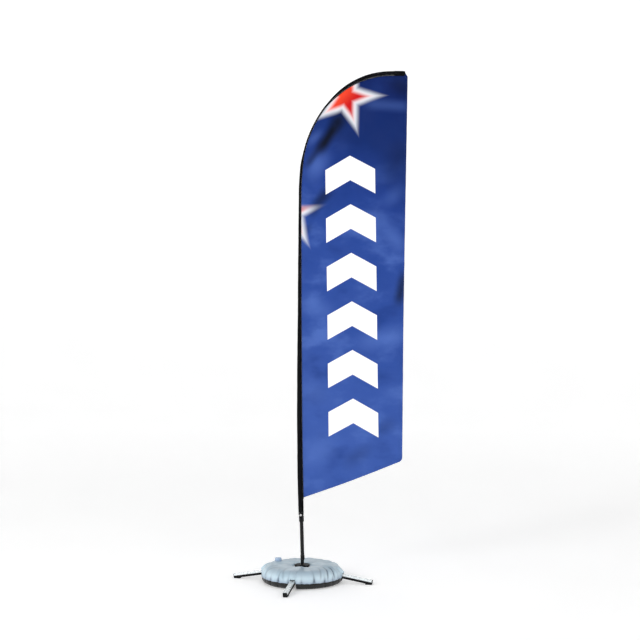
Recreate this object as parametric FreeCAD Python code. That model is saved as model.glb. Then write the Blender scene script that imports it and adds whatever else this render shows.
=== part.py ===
"""Feather flag on a swivelling pole, standing on a folding cross base under a water ring.

Millimetres, +Z up. The origin is on the ground under the hub, on the axis that the pole swivels about.
The flag lies in the XZ plane with its fly edge towards +X, and the four legs lie along +X, +Y, -X and -Y.
From the ground up: four legs hinge on a hub and slope down to rubber feet; a ring of water lies over
them; a bearing housing in the hub carries a steel spindle; a four-section pole drops over the spindle,
and a fabric sleeve along the pole holds the flag and bends the pole's thin tip over.
"""
import FreeCAD
import Part
import math
import os
from FreeCAD import Vector

# ---- base: hub and legs --------------------------------------------------------------------------
LEG_NAMES = ("right", "back", "left", "front")  # along +X, +Y, -X, -Y
LEG_PIVOT_R = 34.0  # hinge bolt's distance from the pole's axis
LEG_PIVOT_Z = 96.0
LEG_LENGTH = 446.0  # hinge bolt to the end of the steel tube
LEG_WIDTH = 29.0
LEG_HEIGHT = 14.0
LEG_WALL = 1.5
LEG_END_R = LEG_HEIGHT / 2
LEG_EDGE_R = 1.8
RUNNER_HEIGHT = 15.0  # rubber strip under the steel tube
RUNNER_START = 50.0
FOOT_LENGTH = 40.0
FOOT_END_WALL = 3.0
LEG_BELOW = LEG_HEIGHT / 2 + RUNNER_HEIGHT  # tube's middle to the underside of the rubber
LEG_REACH = LEG_LENGTH + FOOT_END_WALL
# The legs slope so that the outer corner of each foot's underside is on the ground.
LEG_SLOPE = math.degrees(math.asin(LEG_PIVOT_Z / math.hypot(LEG_REACH, LEG_BELOW))
                         - math.atan(LEG_BELOW / LEG_REACH))
BOLT_R = 3.0
BOLT_HEAD_R = 5.2
BOLT_HEAD_H = 4.0
SOCKET_R = 2.6
SOCKET_DEPTH = 2.4
NUT_ACROSS_FLATS = 10.0
NUT_H = 5.0
WASHER_R = 6.5
WASHER_T = 1.0
BOLT_SPARE = 1.5  # thread that shows past the nut
BUSH_R = 4.6
BUSH_PROUD = 0.2  # past each side of the leg
RUNNING_GAP = 0.08  # on radius, between a bolt and the bush that turns on it
SIDE_GAP = 0.6  # between a leg and each hub lug
STOP_GAP = 0.3  # between a leg's top and the stop above it

HUB_R = 21.0
HUB_BOTTOM = 76.0
HUB_TOP = 112.0
HUB_LUG_T = 5.0
LUG_INSIDE = LEG_WIDTH / 2 + SIDE_GAP  # each lug's faces, from the leg's middle
LUG_OUTSIDE = LUG_INSIDE + HUB_LUG_T
HUB_LUG_REACH = 46.0
HUB_LUG_BOTTOM = 82.0
HUB_PLATE_R = 50.0
HUB_PLATE_BOTTOM = 102.8
STOP_BOTTOM = 98.0

# ---- swivel: housing, bearings, spindle ----------------------------------------------------------
FIT_GAP = 0.03  # between pressed and nested round parts, on radius
HOUSING_R = 17.0
HOUSING_BOTTOM = 74.0
HOUSING_TOP = 115.0
HOUSING_SHOULDER_R = 12.0
BEARING_R = 14.0
BEARING_BORE_R = 6.0
BEARING_WIDTH = 8.0
BEARING_BOTTOMS = (78.0, 106.0)
BALL_R = 2.38
BALL_PITCH_R = 10.0
BALL_COUNT = 8
BALL_GAP = 0.05
RACE_LIP = 0.6 * BALL_R  # how near the race comes to the circle of the balls' centres
CAGE_HALF_T = 0.9
CAGE_HEIGHT = 6.4
SPACER_WALL = 2.0
CIRCLIP_Z = 76.0
CIRCLIP_T = 1.0
CIRCLIP_DEPTH = 0.8
CIRCLIP_REACH = 2.2
CIRCLIP_MOUTH = 2.5
DUST_CAP_T = 2.0
DUST_CAP_LIP = 1.5
SPINDLE_BOTTOM = 75.0
SPINDLE_SHOULDER_R = 8.4
SPINDLE_NECK_R = 11.5
SPINDLE_SEAT = 147.0  # top of the flange that the pole stands on
FLANGE_R = 13.5
FLANGE_T = 4.0
PIN_R = 7.0
PIN_LENGTH = 190.0
PIN_CHAMFER = 3.0

# ---- pole ----------------------------------------------------------------------------------------
POLE_LEAN = -1.6  # degrees away from the flag: the pole leans in its play on the pin
POLE_FOOT_X = 1.5
POLE_FOOT_Z = 147.7
# The pole's centreline: stretches of (length, degrees that it bends towards the flag).
BENDS = ((500.0, 0.0), (700.0, 1.8), (1228.0, 0.0), (198.0, 6.0), (513.0, 38.0), (418.0, 47.0), (108.0, 3.2))
POLE_LENGTH = sum(length for length, _ in BENDS)
TUBE_R = (12.5, 9.2, 6.6)  # bottom, middle and upper sections
TUBE_BORE_R = (10.8, 7.7, 5.3)
JOINT_AT = (1000.0, 1950.0, 2640.0)  # where each tube ends, along the centreline
PLUG_DEPTH = 80.0  # how far each section goes into the one below
PLUG_GAP = 0.1
CUP_FLOOR = 4.0
THINNEST_CUP = 0.5
TIP_ROD_BASE_R = 5.2
TIP_ROD_BEND_R = 3.5  # at the shoulder of the curve
TIP_ROD_END_R = 2.3
CURVE_STEP = 25.0  # between the cross-sections of tapered pieces along the curve
SHOULDER_PAST_JOINT = 120.0
FERRULE_T = (1.2, 0.8, 0.6)
FERRULE_LENGTH = 32.0
FOOT_FERRULE_R = 14.0
FOOT_FERRULE_LENGTH = 26.0
TIP_CAP_R = 3.4
TIP_CAP_LENGTH = 22.0
TIP_CAP_FIT = 0.12  # on radius, for the glue

# ---- flag ----------------------------------------------------------------------------------------
SLEEVE_START = 293.0  # along the centreline
SLEEVE_WALL = 1.0
# (distance along the centreline, sleeve's outer edge from the centreline, its width, its thickness)
SLEEVE_SIZES = (
    (SLEEVE_START, 19.0, 36.0, 33.0), (400.0, 20.0, 38.0, 33.0), (550.0, 20.0, 39.0, 33.0),
    (700.0, 18.0, 37.5, 32.0), (1000.0, 16.4, 36.0, 31.5), (1060.0, 15.8, 35.0, 31.0),
    (1450.0, 14.0, 30.0, 27.0), (1730.0, 12.2, 25.0, 23.5), (1960.0, 11.8, 24.0, 23.2),
    (2150.0, 9.8, 20.0, 18.5), (2560.0, 8.8, 18.0, 17.0), (2645.0, 8.7, 17.6, 17.0),
    (2700.0, 6.4, 13.0, 12.6), (2780.0, 4.9, 9.8, 9.6), (3060.0, 4.9, 9.8, 9.6), (3180.0, 5.6, 22.0, 10.4),
    (3400.0, 6.6, 32.0, 12.6), (POLE_LENGTH + 2.0, 6.6, 31.0, 13.0),
)
TIP_POCKET_LENGTH = 70.0
TIP_POCKET_T = 1.2
PANEL_T = 1.0
FLY_TOP = (711.0, 3347.0)
FLY_BOTTOM = (675.0, 824.0)
HOIST_BOTTOM_Z = 553.0
FLY_CORNER_R = 32.0

COLLAR_AT = 252.0  # collar's lower edge, along the centreline
COLLAR_R = 16.5
COLLAR_LENGTH = 36.0
COLLAR_SLOT = 3.0
EAR_T = 5.5
EAR_REACH = 8.0
EAR_BOTTOM = 10.0
EAR_TOP = 26.0
SCREW_R = 1.6
SCREW_HEAD_R = 3.0
SCREW_HEAD_H = 2.6
STUD_R = 3.0
STUD_HEAD_R = 5.0
STUD_LENGTH = 5.0
STUD_HEAD_T = 2.0
STRAP_WIDTH = 16.0
STRAP_T = 1.6
STRAP_GAP = 0.1
STRAP_TOP = 350.0  # along the centreline
EYELET_AT = 297.0
EYELET_R = 4.0
EYELET_RIM_R = 6.5
EYELET_WALL = 0.8
EYELET_T = 0.7

# ---- water ring ----------------------------------------------------------------------------------
BAG_OUTER_R = 271.0
BAG_HOLE_R = 59.0
BAG_BOTTOM = 2.0
BAG_TOP = 112.0
BAG_RIM_R = 20.0  # roundings of its section
BAG_INNER_FOOT_R = 28.0
BAG_SHOULDER_R = 68.0
BAG_OUTER_FOOT_R = 34.0
BAG_SKIN = 1.0
LEG_CHANNEL_GAP = 2.5
NECK_TURN = 157.0  # degrees round the ring from +X
NECK_AT_R = 203.0
NECK_FLANGE_R = 22.0
NECK_FLANGE_T = 2.0
NECK_R = 14.0
NECK_BORE_R = 11.0
NECK_HEIGHT = 14.0
CAP_R = 22.0
CAP_SKIRT_GAP = 0.5
CAP_BOTTOM = 4.0  # above the bag's top
CAP_HEIGHT = 17.0
CAP_RIB_COUNT = 18
CAP_RIB_R = 1.1
CAP_RIB_SHORT = 2.0
GASKET_T = 2.0

Y_AXIS = Vector(0, 1, 0)
Z_AXIS = Vector(0, 0, 1)
ORIGIN = Vector(0, 0, 0)


def disc(radius, bottom, top, x=0.0, y=0.0):
    """An upright cylinder between two heights."""
    return Part.makeCylinder(radius, top - bottom, Vector(x, y, bottom), Z_AXIS)


def ring(outer, inner, bottom, top, x=0.0, y=0.0):
    """An upright tube between two heights."""
    return disc(outer, bottom, top, x, y).cut(disc(inner, bottom - 1, top + 1, x, y))


def block(x0, x1, y0, y1, z0, z1):
    return Part.makeBox(x1 - x0, y1 - y0, z1 - z0, Vector(x0, y0, z0))


def across(radius, y0, y1, x, z):
    """A cylinder along Y."""
    return Part.makeCylinder(radius, y1 - y0, Vector(x, y0, z), Y_AXIS)


def turned(shape, degrees, centre=ORIGIN, axis=Z_AXIS):
    copy = shape.copy()
    copy.rotate(centre, axis, degrees)
    return copy


def joined(shapes):
    whole = shapes[0]
    for shape in shapes[1:]:
        whole = whole.fuse(shape)
    return whole.removeSplitter()


def group(shapes):
    """Separate solids in one node."""
    return Part.makeCompound([solid for shape in shapes for solid in shape.Solids])


# ---- pole's centreline ---------------------------------------------------------------------------
def place(along):
    """The centreline's point at a distance along it, and its heading in radians from +Z towards +X."""
    x, z, heading = POLE_FOOT_X, POLE_FOOT_Z, math.radians(POLE_LEAN)
    left = along
    for length, bend in BENDS:
        step = min(left, length)
        turn = math.radians(bend) * step / length
        if bend:
            radius = length / math.radians(bend)
            x += radius * (math.cos(heading) - math.cos(heading + turn))
            z += radius * (math.sin(heading + turn) - math.sin(heading))
        else:
            x += step * math.sin(heading)
            z += step * math.cos(heading)
        heading += turn
        left -= step
        if left <= 0:
            break
    x += max(left, 0) * math.sin(heading)
    z += max(left, 0) * math.cos(heading)
    return Vector(x, 0, z), heading


def beside(along, offset, y=0.0):
    """A point beside the centreline, offset towards the flag."""
    point, heading = place(along)
    return point + Vector(offset * math.cos(heading), y, -offset * math.sin(heading))


def path_edges(start, end, offset=0.0):
    """Lines and arcs that follow the centreline, or run beside it."""
    edges = []
    begin = 0.0
    for length, bend in BENDS:
        low, high = max(start, begin), min(end, begin + length)
        if high - low > 1e-6:
            first, last = beside(low, offset), beside(high, offset)
            if bend:
                edges.append(Part.Arc(first, beside((low + high) / 2, offset), last).toShape())
            else:
                edges.append(Part.LineSegment(first, last).toShape())
        begin += length
    if end > begin:
        edges.append(Part.LineSegment(beside(begin, offset), beside(end, offset)).toShape())
    return edges


def rod(start, end, radius):
    """A round bar along the centreline."""
    point, heading = place(start)
    tangent = Vector(math.sin(heading), 0, math.cos(heading))
    face = Part.Face(Part.Wire(Part.makeCircle(radius, point, tangent)))
    return Part.Wire(path_edges(start, end)).makePipe(face)


def tube(start, end, outer, inner):
    return rod(start, end, outer).cut(rod(start, end, inner))


def section_ring(along, half_width, half_thick, offset=0.0):
    """An ellipse square to the centreline, for lofts."""
    _, heading = place(along)
    centre = beside(along, offset)
    toward_flag = Vector(math.cos(heading), 0, -math.sin(heading))
    tangent = Vector(math.sin(heading), 0, math.cos(heading))
    wide = half_width >= half_thick
    major = toward_flag if wide else Y_AXIS
    a, b = max(half_width, half_thick), min(half_width, half_thick)
    ellipse = Part.Ellipse(centre + major * a, centre + tangent.cross(major) * b, centre)
    return Part.Wire(ellipse.toShape())


# ---- legs ----------------------------------------------------------------------------------------
def leg_frame(shape):
    """Takes a shape drawn along +X from the hinge bolt to its place on the right-hand leg."""
    placed = turned(shape, LEG_SLOPE, ORIGIN, Y_AXIS)
    placed.translate(Vector(LEG_PIVOT_R, 0, LEG_PIVOT_Z))
    return placed


def round_leg(shape, index):
    return turned(shape, 90.0 * index)


def leg_tube():
    half, wall = LEG_WIDTH / 2, LEG_WALL
    outer = block(0, LEG_LENGTH, -half, half, -LEG_HEIGHT / 2, LEG_HEIGHT / 2)
    outer = outer.fuse(across(LEG_END_R, -half, half, 0, 0)).removeSplitter()
    outer = outer.makeFillet(LEG_EDGE_R, [edge for edge in outer.Edges if abs(edge.Length - LEG_LENGTH) < 1])
    inner = block(-LEG_END_R, LEG_LENGTH + 1, -half + wall, half - wall,
                  -LEG_HEIGHT / 2 + wall, LEG_HEIGHT / 2 - wall)
    bolt_hole = across(BUSH_R + FIT_GAP, -half - 1, half + 1, 0, 0)
    return leg_frame(outer.cut(inner).cut(bolt_hole))


def leg_bush():
    half = LEG_WIDTH / 2 + BUSH_PROUD
    bush = across(BUSH_R, -half, half, 0, 0)
    return leg_frame(bush.cut(across(BOLT_R + RUNNING_GAP, -half - 1, half + 1, 0, 0)))


def leg_runner():
    """The rubber strip bonded along the leg's underside, with a rounded inner end."""
    half = LEG_WIDTH / 2
    under = -LEG_HEIGHT / 2
    strip = block(RUNNER_START, LEG_LENGTH - FOOT_LENGTH, -half, half, -LEG_BELOW, under)
    nose = across(RUNNER_HEIGHT, -half, half, RUNNER_START, under)
    nose = nose.common(block(RUNNER_START - RUNNER_HEIGHT, RUNNER_START, -half, half, -LEG_BELOW, under))
    return leg_frame(strip.fuse(nose).removeSplitter())


def leg_foot():
    """The moulded foot that closes the tube's end, with a sole that lies flat on the ground."""
    half = LEG_WIDTH / 2
    inside = LEG_WALL + FIT_GAP
    below = LEG_BELOW + RUNNER_HEIGHT
    heel = block(LEG_LENGTH - FOOT_LENGTH, LEG_LENGTH, -half, half, -below, -LEG_HEIGHT / 2)
    end = block(LEG_LENGTH, LEG_REACH, -half, half, -below, LEG_HEIGHT / 2)
    plug = block(LEG_LENGTH - FOOT_LENGTH / 2, LEG_LENGTH, -half + inside, half - inside,
                 -LEG_HEIGHT / 2 + inside, LEG_HEIGHT / 2 - inside)
    foot = leg_frame(joined([heel, end, plug]))
    return foot.cut(block(0, 2 * LEG_LENGTH, -LEG_WIDTH, LEG_WIDTH, -LEG_LENGTH, 0))


def hex_prism(corner_r, y0, y1):
    """A hexagonal bar along the right-hand hinge's bolt."""
    corners = []
    for i in range(7):
        angle = math.radians(60 * i)
        corners.append(Vector(LEG_PIVOT_R + corner_r * math.cos(angle), y0,
                              LEG_PIVOT_Z + corner_r * math.sin(angle)))
    return Part.Face(Part.makePolygon(corners)).extrude(Vector(0, y1 - y0, 0))


def hinge_bolt():
    """Bolt with a round head, along Y through the right-hand lugs."""
    under_head = -LUG_OUTSIDE - WASHER_T
    end = LUG_OUTSIDE + WASHER_T + NUT_H + BOLT_SPARE
    shank = across(BOLT_R, under_head, end, LEG_PIVOT_R, LEG_PIVOT_Z)
    head = across(BOLT_HEAD_R, under_head - BOLT_HEAD_H, under_head, LEG_PIVOT_R, LEG_PIVOT_Z)
    top = under_head - BOLT_HEAD_H
    return head.fuse(shank).removeSplitter().cut(hex_prism(SOCKET_R, top - 1, top + SOCKET_DEPTH))


def hinge_nut():
    start = LUG_OUTSIDE + WASHER_T
    nut = hex_prism(NUT_ACROSS_FLATS / math.sqrt(3), start, start + NUT_H)
    return nut.cut(across(BOLT_R + FIT_GAP, start - 1, start + NUT_H + 1, LEG_PIVOT_R, LEG_PIVOT_Z))


def hinge_washers():
    washers = []
    for start in (-LUG_OUTSIDE - WASHER_T, LUG_OUTSIDE):
        washer = across(WASHER_R, start, start + WASHER_T, LEG_PIVOT_R, LEG_PIVOT_Z)
        hole = across(BOLT_R + FIT_GAP, start - 1, start + WASHER_T + 1, LEG_PIVOT_R, LEG_PIVOT_Z)
        washers.append(washer.cut(hole))
    return group(washers)


def hub():
    """One casting: a boss for the housing, four pairs of lugs, and a plate whose underside stops the legs."""
    body = disc(HUB_R, HUB_BOTTOM, HUB_TOP).fuse(disc(HUB_PLATE_R, HUB_PLATE_BOTTOM, HUB_TOP))
    for i in range(len(LEG_NAMES)):
        for side in (-1, 1):
            y0, y1 = sorted((side * LUG_INSIDE, side * LUG_OUTSIDE))
            body = body.fuse(round_leg(block(0, HUB_LUG_REACH, y0, y1, HUB_LUG_BOTTOM, HUB_PLATE_BOTTOM), i))
        body = body.fuse(round_leg(block(0, HUB_LUG_REACH, -LUG_INSIDE, LUG_INSIDE, STOP_BOTTOM, HUB_TOP), i))
    swing = leg_frame(block(-LEG_PIVOT_R, 2 * HUB_PLATE_R, -LUG_INSIDE, LUG_INSIDE,
                            -2 * HUB_PLATE_R, LEG_HEIGHT / 2 + STOP_GAP))
    swing = swing.cut(disc(HUB_R, 0, HUB_TOP + 1))
    pivot_room = across(LEG_END_R + STOP_GAP, -LUG_INSIDE, LUG_INSIDE, LEG_PIVOT_R, LEG_PIVOT_Z)
    bolt = across(BOLT_R + FIT_GAP, -HUB_PLATE_R, HUB_PLATE_R, LEG_PIVOT_R, LEG_PIVOT_Z)
    for i in range(len(LEG_NAMES)):
        for room in (swing, pivot_room, bolt):
            body = body.cut(round_leg(room, i))
    body = body.cut(disc(HOUSING_R + FIT_GAP, 0, HUB_TOP + 1))
    return body.removeSplitter()


# ---- swivel --------------------------------------------------------------------------------------
def bearing_housing():
    body = disc(HOUSING_R, HOUSING_BOTTOM, HOUSING_TOP)
    body = body.cut(disc(HOUSING_SHOULDER_R, HOUSING_BOTTOM - 1, HOUSING_TOP + 1))
    lower, upper = BEARING_BOTTOMS
    body = body.cut(disc(BEARING_R + FIT_GAP, HOUSING_BOTTOM - 1, lower + BEARING_WIDTH))
    return body.cut(disc(BEARING_R + FIT_GAP, upper, HOUSING_TOP + 1))


def dust_cap():
    """Plastic cap that closes the housing's lower end."""
    plate = disc(HOUSING_R, HOUSING_BOTTOM - DUST_CAP_T, HOUSING_BOTTOM - FIT_GAP)
    spigot = ring(BEARING_R, BEARING_R - DUST_CAP_LIP, HOUSING_BOTTOM - DUST_CAP_T / 2,
                  HOUSING_BOTTOM + DUST_CAP_LIP)
    return plate.fuse(spigot).removeSplitter()


def ball_groove(bottom):
    return Part.makeTorus(BALL_PITCH_R, BALL_R + BALL_GAP, Vector(0, 0, bottom + BEARING_WIDTH / 2), Z_AXIS)


def outer_race(bottom):
    race = ring(BEARING_R, BALL_PITCH_R + RACE_LIP, bottom, bottom + BEARING_WIDTH)
    return race.cut(ball_groove(bottom))


def inner_race(bottom):
    race = ring(BALL_PITCH_R - RACE_LIP, BEARING_BORE_R, bottom, bottom + BEARING_WIDTH)
    return race.cut(ball_groove(bottom))


def bearing_balls(bottom):
    balls = []
    for i in range(BALL_COUNT):
        angle = 2 * math.pi * i / BALL_COUNT
        centre = Vector(BALL_PITCH_R * math.cos(angle), BALL_PITCH_R * math.sin(angle),
                        bottom + BEARING_WIDTH / 2)
        balls.append(Part.makeSphere(BALL_R, centre))
    return balls


def bearing_cage(bottom):
    middle = bottom + BEARING_WIDTH / 2
    cage = ring(BALL_PITCH_R + CAGE_HALF_T, BALL_PITCH_R - CAGE_HALF_T,
                middle - CAGE_HEIGHT / 2, middle + CAGE_HEIGHT / 2)
    for i in range(BALL_COUNT):
        angle = 2 * math.pi * i / BALL_COUNT
        way = Vector(math.cos(angle), math.sin(angle), 0)
        pocket = Part.makeCylinder(BALL_R + BALL_GAP, 6 * CAGE_HALF_T,
                                   way * (BALL_PITCH_R - 3 * CAGE_HALF_T) + Vector(0, 0, middle), way)
        cage = cage.cut(pocket)
    return group([cage])


def spindle():
    """One turned piece: journals for the bearings, a neck, the pole's seat and the pin above it."""
    upper_top = BEARING_BOTTOMS[1] + BEARING_WIDTH
    journal = BEARING_BORE_R - FIT_GAP
    tip = SPINDLE_SEAT + PIN_LENGTH
    body = disc(journal, SPINDLE_BOTTOM, upper_top + 1)
    body = body.fuse(disc(SPINDLE_SHOULDER_R, upper_top + FIT_GAP, HOUSING_TOP + 2))
    body = body.fuse(disc(SPINDLE_NECK_R, HOUSING_TOP + 1, SPINDLE_SEAT - 1))
    body = body.fuse(disc(FLANGE_R, SPINDLE_SEAT - FLANGE_T, SPINDLE_SEAT))
    body = body.fuse(disc(PIN_R, SPINDLE_SEAT, tip - PIN_CHAMFER))
    body = body.fuse(Part.makeCone(PIN_R, PIN_R - PIN_CHAMFER, PIN_CHAMFER, Vector(0, 0, tip - PIN_CHAMFER)))
    groove = ring(journal + 1, journal - CIRCLIP_DEPTH, CIRCLIP_Z, CIRCLIP_Z + CIRCLIP_T)
    return body.cut(groove).removeSplitter()


def spindle_circlip():
    clip = ring(BEARING_BORE_R + CIRCLIP_REACH, BEARING_BORE_R - CIRCLIP_DEPTH,
                CIRCLIP_Z + FIT_GAP, CIRCLIP_Z + CIRCLIP_T - FIT_GAP)
    return clip.cut(block(0, BEARING_R, -CIRCLIP_MOUTH, CIRCLIP_MOUTH, 0, SPINDLE_SEAT))


def bearing_spacer():
    lower, upper = BEARING_BOTTOMS
    return ring(BEARING_BORE_R + SPACER_WALL, BEARING_BORE_R + FIT_GAP,
                lower + BEARING_WIDTH + FIT_GAP, upper - FIT_GAP)


# ---- pole ----------------------------------------------------------------------------------------
def pole_tube(index):
    start = 0.0 if index == 0 else JOINT_AT[index - 1] - PLUG_DEPTH
    return tube(start, JOINT_AT[index], TUBE_R[index], TUBE_BORE_R[index])


def joint_cup(index):
    """A closed cup glued in a tube's top end: the next section plugs into it and stands on its floor."""
    outer = TUBE_BORE_R[index] - FIT_GAP
    next_r = TIP_ROD_BASE_R if index + 1 == len(TUBE_R) else TUBE_R[index + 1]
    floor = JOINT_AT[index] - PLUG_DEPTH - PLUG_GAP
    cup = rod(floor - CUP_FLOOR, JOINT_AT[index], outer)
    if outer - next_r - PLUG_GAP < THINNEST_CUP:
        return rod(floor - CUP_FLOOR, floor, outer)
    return cup.cut(rod(floor, JOINT_AT[index] + 1, next_r + PLUG_GAP))


def between_rows(rows, along):
    """Straight-line values between the rows of a table whose first column is the distance along the pole."""
    for low, high in zip(rows, rows[1:]):
        if along <= high[0]:
            share = (along - low[0]) / (high[0] - low[0])
            return [a + share * (b - a) for a, b in zip(low[1:], high[1:])]
    return list(rows[-1][1:])


def stations(rows):
    """The rows' own distances, and closer ones between them where the pole curves."""
    curve_start = sum(length for length, _ in BENDS[:3])
    places = {row[0] for row in rows}
    steps = int((rows[-1][0] - curve_start) / CURVE_STEP)
    places.update(curve_start + CURVE_STEP * i for i in range(steps + 1))
    return sorted(place for place in places if rows[0][0] <= place <= rows[-1][0])


def tip_rod():
    """Tapered rod of glass fibre: thick in its socket, thin along the curve."""
    rows = (
        (JOINT_AT[-1] - PLUG_DEPTH, TIP_ROD_BASE_R), (JOINT_AT[-1], TIP_ROD_BASE_R),
        (JOINT_AT[-1] + SHOULDER_PAST_JOINT, TIP_ROD_BEND_R),
        (POLE_LENGTH - TIP_CAP_LENGTH / 2, TIP_ROD_END_R),
    )
    rings = []
    for along in stations(rows):
        point, heading = place(along)
        tangent = Vector(math.sin(heading), 0, math.cos(heading))
        rings.append(Part.Wire(Part.makeCircle(between_rows(rows, along)[0], point, tangent)))
    return Part.makeLoft(rings, True, True)


def pole_ferrule(index):
    end = JOINT_AT[index]
    outer = TUBE_R[index] + FERRULE_T[index]
    return tube(end - FERRULE_LENGTH, end, outer, TUBE_R[index] + FIT_GAP)


def foot_ferrule():
    return tube(0.0, FOOT_FERRULE_LENGTH, FOOT_FERRULE_R, TUBE_R[0] + FIT_GAP)


def tip_cap():
    start = POLE_LENGTH - TIP_CAP_LENGTH
    end = POLE_LENGTH - TIP_CAP_LENGTH / 2
    bore = rod(start, end, TIP_ROD_END_R + TIP_CAP_FIT)
    return rod(start, POLE_LENGTH - 1, TIP_CAP_R).cut(bore)


# ---- flag ----------------------------------------------------------------------------------------
def sleeve_ring(along, outer, width, thick, shrink):
    return section_ring(along, width / 2 - shrink, thick / 2 - shrink, width / 2 - outer)


def sleeve_block(shrink=0.0, longer=0.0):
    """The sleeve's outside, or its inside when shrunk by the cloth's thickness."""
    places = stations(SLEEVE_SIZES)
    rings = [sleeve_ring(along, *between_rows(SLEEVE_SIZES, along), shrink) for along in places]
    if longer:
        rings.insert(0, sleeve_ring(places[0] - longer, *SLEEVE_SIZES[0][1:], shrink))
        rings.append(sleeve_ring(places[-1] + longer, *SLEEVE_SIZES[-1][1:], shrink))
    return Part.makeLoft(rings, True, True)


def pole_sleeve():
    return sleeve_block().cut(sleeve_block(SLEEVE_WALL, SLEEVE_WALL))


def tip_pocket():
    """Webbing pocket sewn over the sleeve's closed end, which takes the thrust of the bent rod."""
    _, outer, width, thick = SLEEVE_SIZES[-1]
    end = SLEEVE_SIZES[-1][0]
    grown = [sleeve_ring(along, outer, width, thick, -TIP_POCKET_T)
             for along in (end - TIP_POCKET_LENGTH, end + TIP_POCKET_T)]
    pocket = Part.makeLoft(grown, True, False).cut(sleeve_block())
    return pocket.cut(panel_block())


def rounded_corner(before, corner, after, radius):
    """The two tangent points and the middle of an arc that rounds a corner."""
    back = (before - corner).normalize()
    ahead = (after - corner).normalize()
    half = back.getAngle(ahead) / 2
    reach = radius / math.tan(half)
    inward = (back + ahead).normalize()
    middle = corner + inward * (radius / math.sin(half) - radius)
    return corner + back * reach, middle, corner + ahead * reach


def panel_block():
    """A flat sheet from the pole's centreline to the fly edge."""
    start = next(s for s in range(int(SLEEVE_START), 700) if place(s)[0].z >= HOIST_BOTTOM_Z)
    hoist_low, _ = place(start)
    tip, _ = place(POLE_LENGTH)
    top = Vector(FLY_TOP[0], 0, FLY_TOP[1])
    corner = Vector(FLY_BOTTOM[0], 0, FLY_BOTTOM[1])
    arc_in, arc_mid, arc_out = rounded_corner(top, corner, hoist_low, FLY_CORNER_R)
    edges = path_edges(start, POLE_LENGTH)
    edges.append(Part.LineSegment(tip, top).toShape())
    edges.append(Part.LineSegment(top, arc_in).toShape())
    edges.append(Part.Arc(arc_in, arc_mid, arc_out).toShape())
    edges.append(Part.LineSegment(arc_out, hoist_low).toShape())
    panel = Part.Face(Part.Wire(edges)).extrude(Vector(0, PANEL_T, 0))
    panel.translate(Vector(0, -PANEL_T / 2, 0))
    return panel


def flag_panel():
    """The printed cloth, trimmed where it is sewn to the sleeve."""
    panel = panel_block().cut(sleeve_block())
    return max(panel.Solids, key=lambda solid: solid.Volume)


def on_pole_front(shape, along):
    """Takes a shape drawn at the origin, with +Z up the pole, to the pole at that distance."""
    point, heading = place(along)
    placed = turned(shape, math.degrees(heading), ORIGIN, Y_AXIS)
    placed.translate(point)
    return placed


def tension_collar():
    """Split ring clamped round the pole, with a stud in front that the flag's strap buttons onto."""
    bore = disc(TUBE_R[0] + FIT_GAP, -1, COLLAR_LENGTH + 1)
    middle = COLLAR_LENGTH / 2
    half_slot = COLLAR_SLOT / 2
    ears = block(-half_slot - EAR_T, half_slot + EAR_T, 0, COLLAR_R + EAR_REACH, EAR_BOTTOM, EAR_TOP)
    stud = across(STUD_R, -COLLAR_R - STUD_LENGTH, 0, 0, middle)
    head = across(STUD_HEAD_R, -COLLAR_R - STUD_LENGTH - STUD_HEAD_T, -COLLAR_R - STUD_LENGTH, 0, middle)
    collar = joined([disc(COLLAR_R, 0, COLLAR_LENGTH), ears, stud, head]).cut(bore)
    collar = collar.cut(block(-half_slot, half_slot, 0, 2 * COLLAR_R, -1, COLLAR_LENGTH + 1))
    return on_pole_front(collar.cut(screw_bar(SCREW_R + FIT_GAP, 2 * COLLAR_R)), COLLAR_AT)


def screw_bar(radius, reach):
    """A bar along X through the collar's ears, from one side's reach to the other's."""
    start = Vector(-reach, COLLAR_R + EAR_REACH / 2, COLLAR_LENGTH / 2)
    return Part.makeCylinder(radius, 2 * reach, start, Vector(1, 0, 0))


def collar_screw():
    side = COLLAR_SLOT / 2 + EAR_T
    head = screw_bar(SCREW_HEAD_R, side + SCREW_HEAD_H)
    head = head.common(block(-2 * side, -side, 0, 2 * COLLAR_R, 0, COLLAR_LENGTH))
    return on_pole_front(screw_bar(SCREW_R, side + 1).fuse(head).removeSplitter(), COLLAR_AT)


def tension_strap():
    """Flat webbing on the front of the pole, from the sleeve down to the collar's stud."""
    stud_at = COLLAR_AT + COLLAR_LENGTH / 2
    back = -COLLAR_R - STRAP_GAP
    front = back - STRAP_T
    half = STRAP_WIDTH / 2
    strap = block(-half, half, front, back, 0, STRAP_TOP - stud_at)
    strap = strap.fuse(across(half, front, back, 0, 0)).removeSplitter()
    strap = strap.cut(across(STUD_R + STRAP_GAP, front - 1, back + 1, 0, 0))
    strap = strap.cut(across(EYELET_R + FIT_GAP, front - 1, back + 1, 0, EYELET_AT - stud_at))
    return on_pole_front(strap, stud_at)


def strap_eyelet():
    back = -COLLAR_R - STRAP_GAP
    front = back - STRAP_T
    barrel = across(EYELET_R, front - EYELET_T, back, 0, 0)
    rim = across(EYELET_RIM_R, front - EYELET_T, front - FIT_GAP, 0, 0)
    eyelet = barrel.fuse(rim).removeSplitter()
    return on_pole_front(eyelet.cut(across(EYELET_R - EYELET_WALL, front - 2, back + 1, 0, 0)), EYELET_AT)


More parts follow.
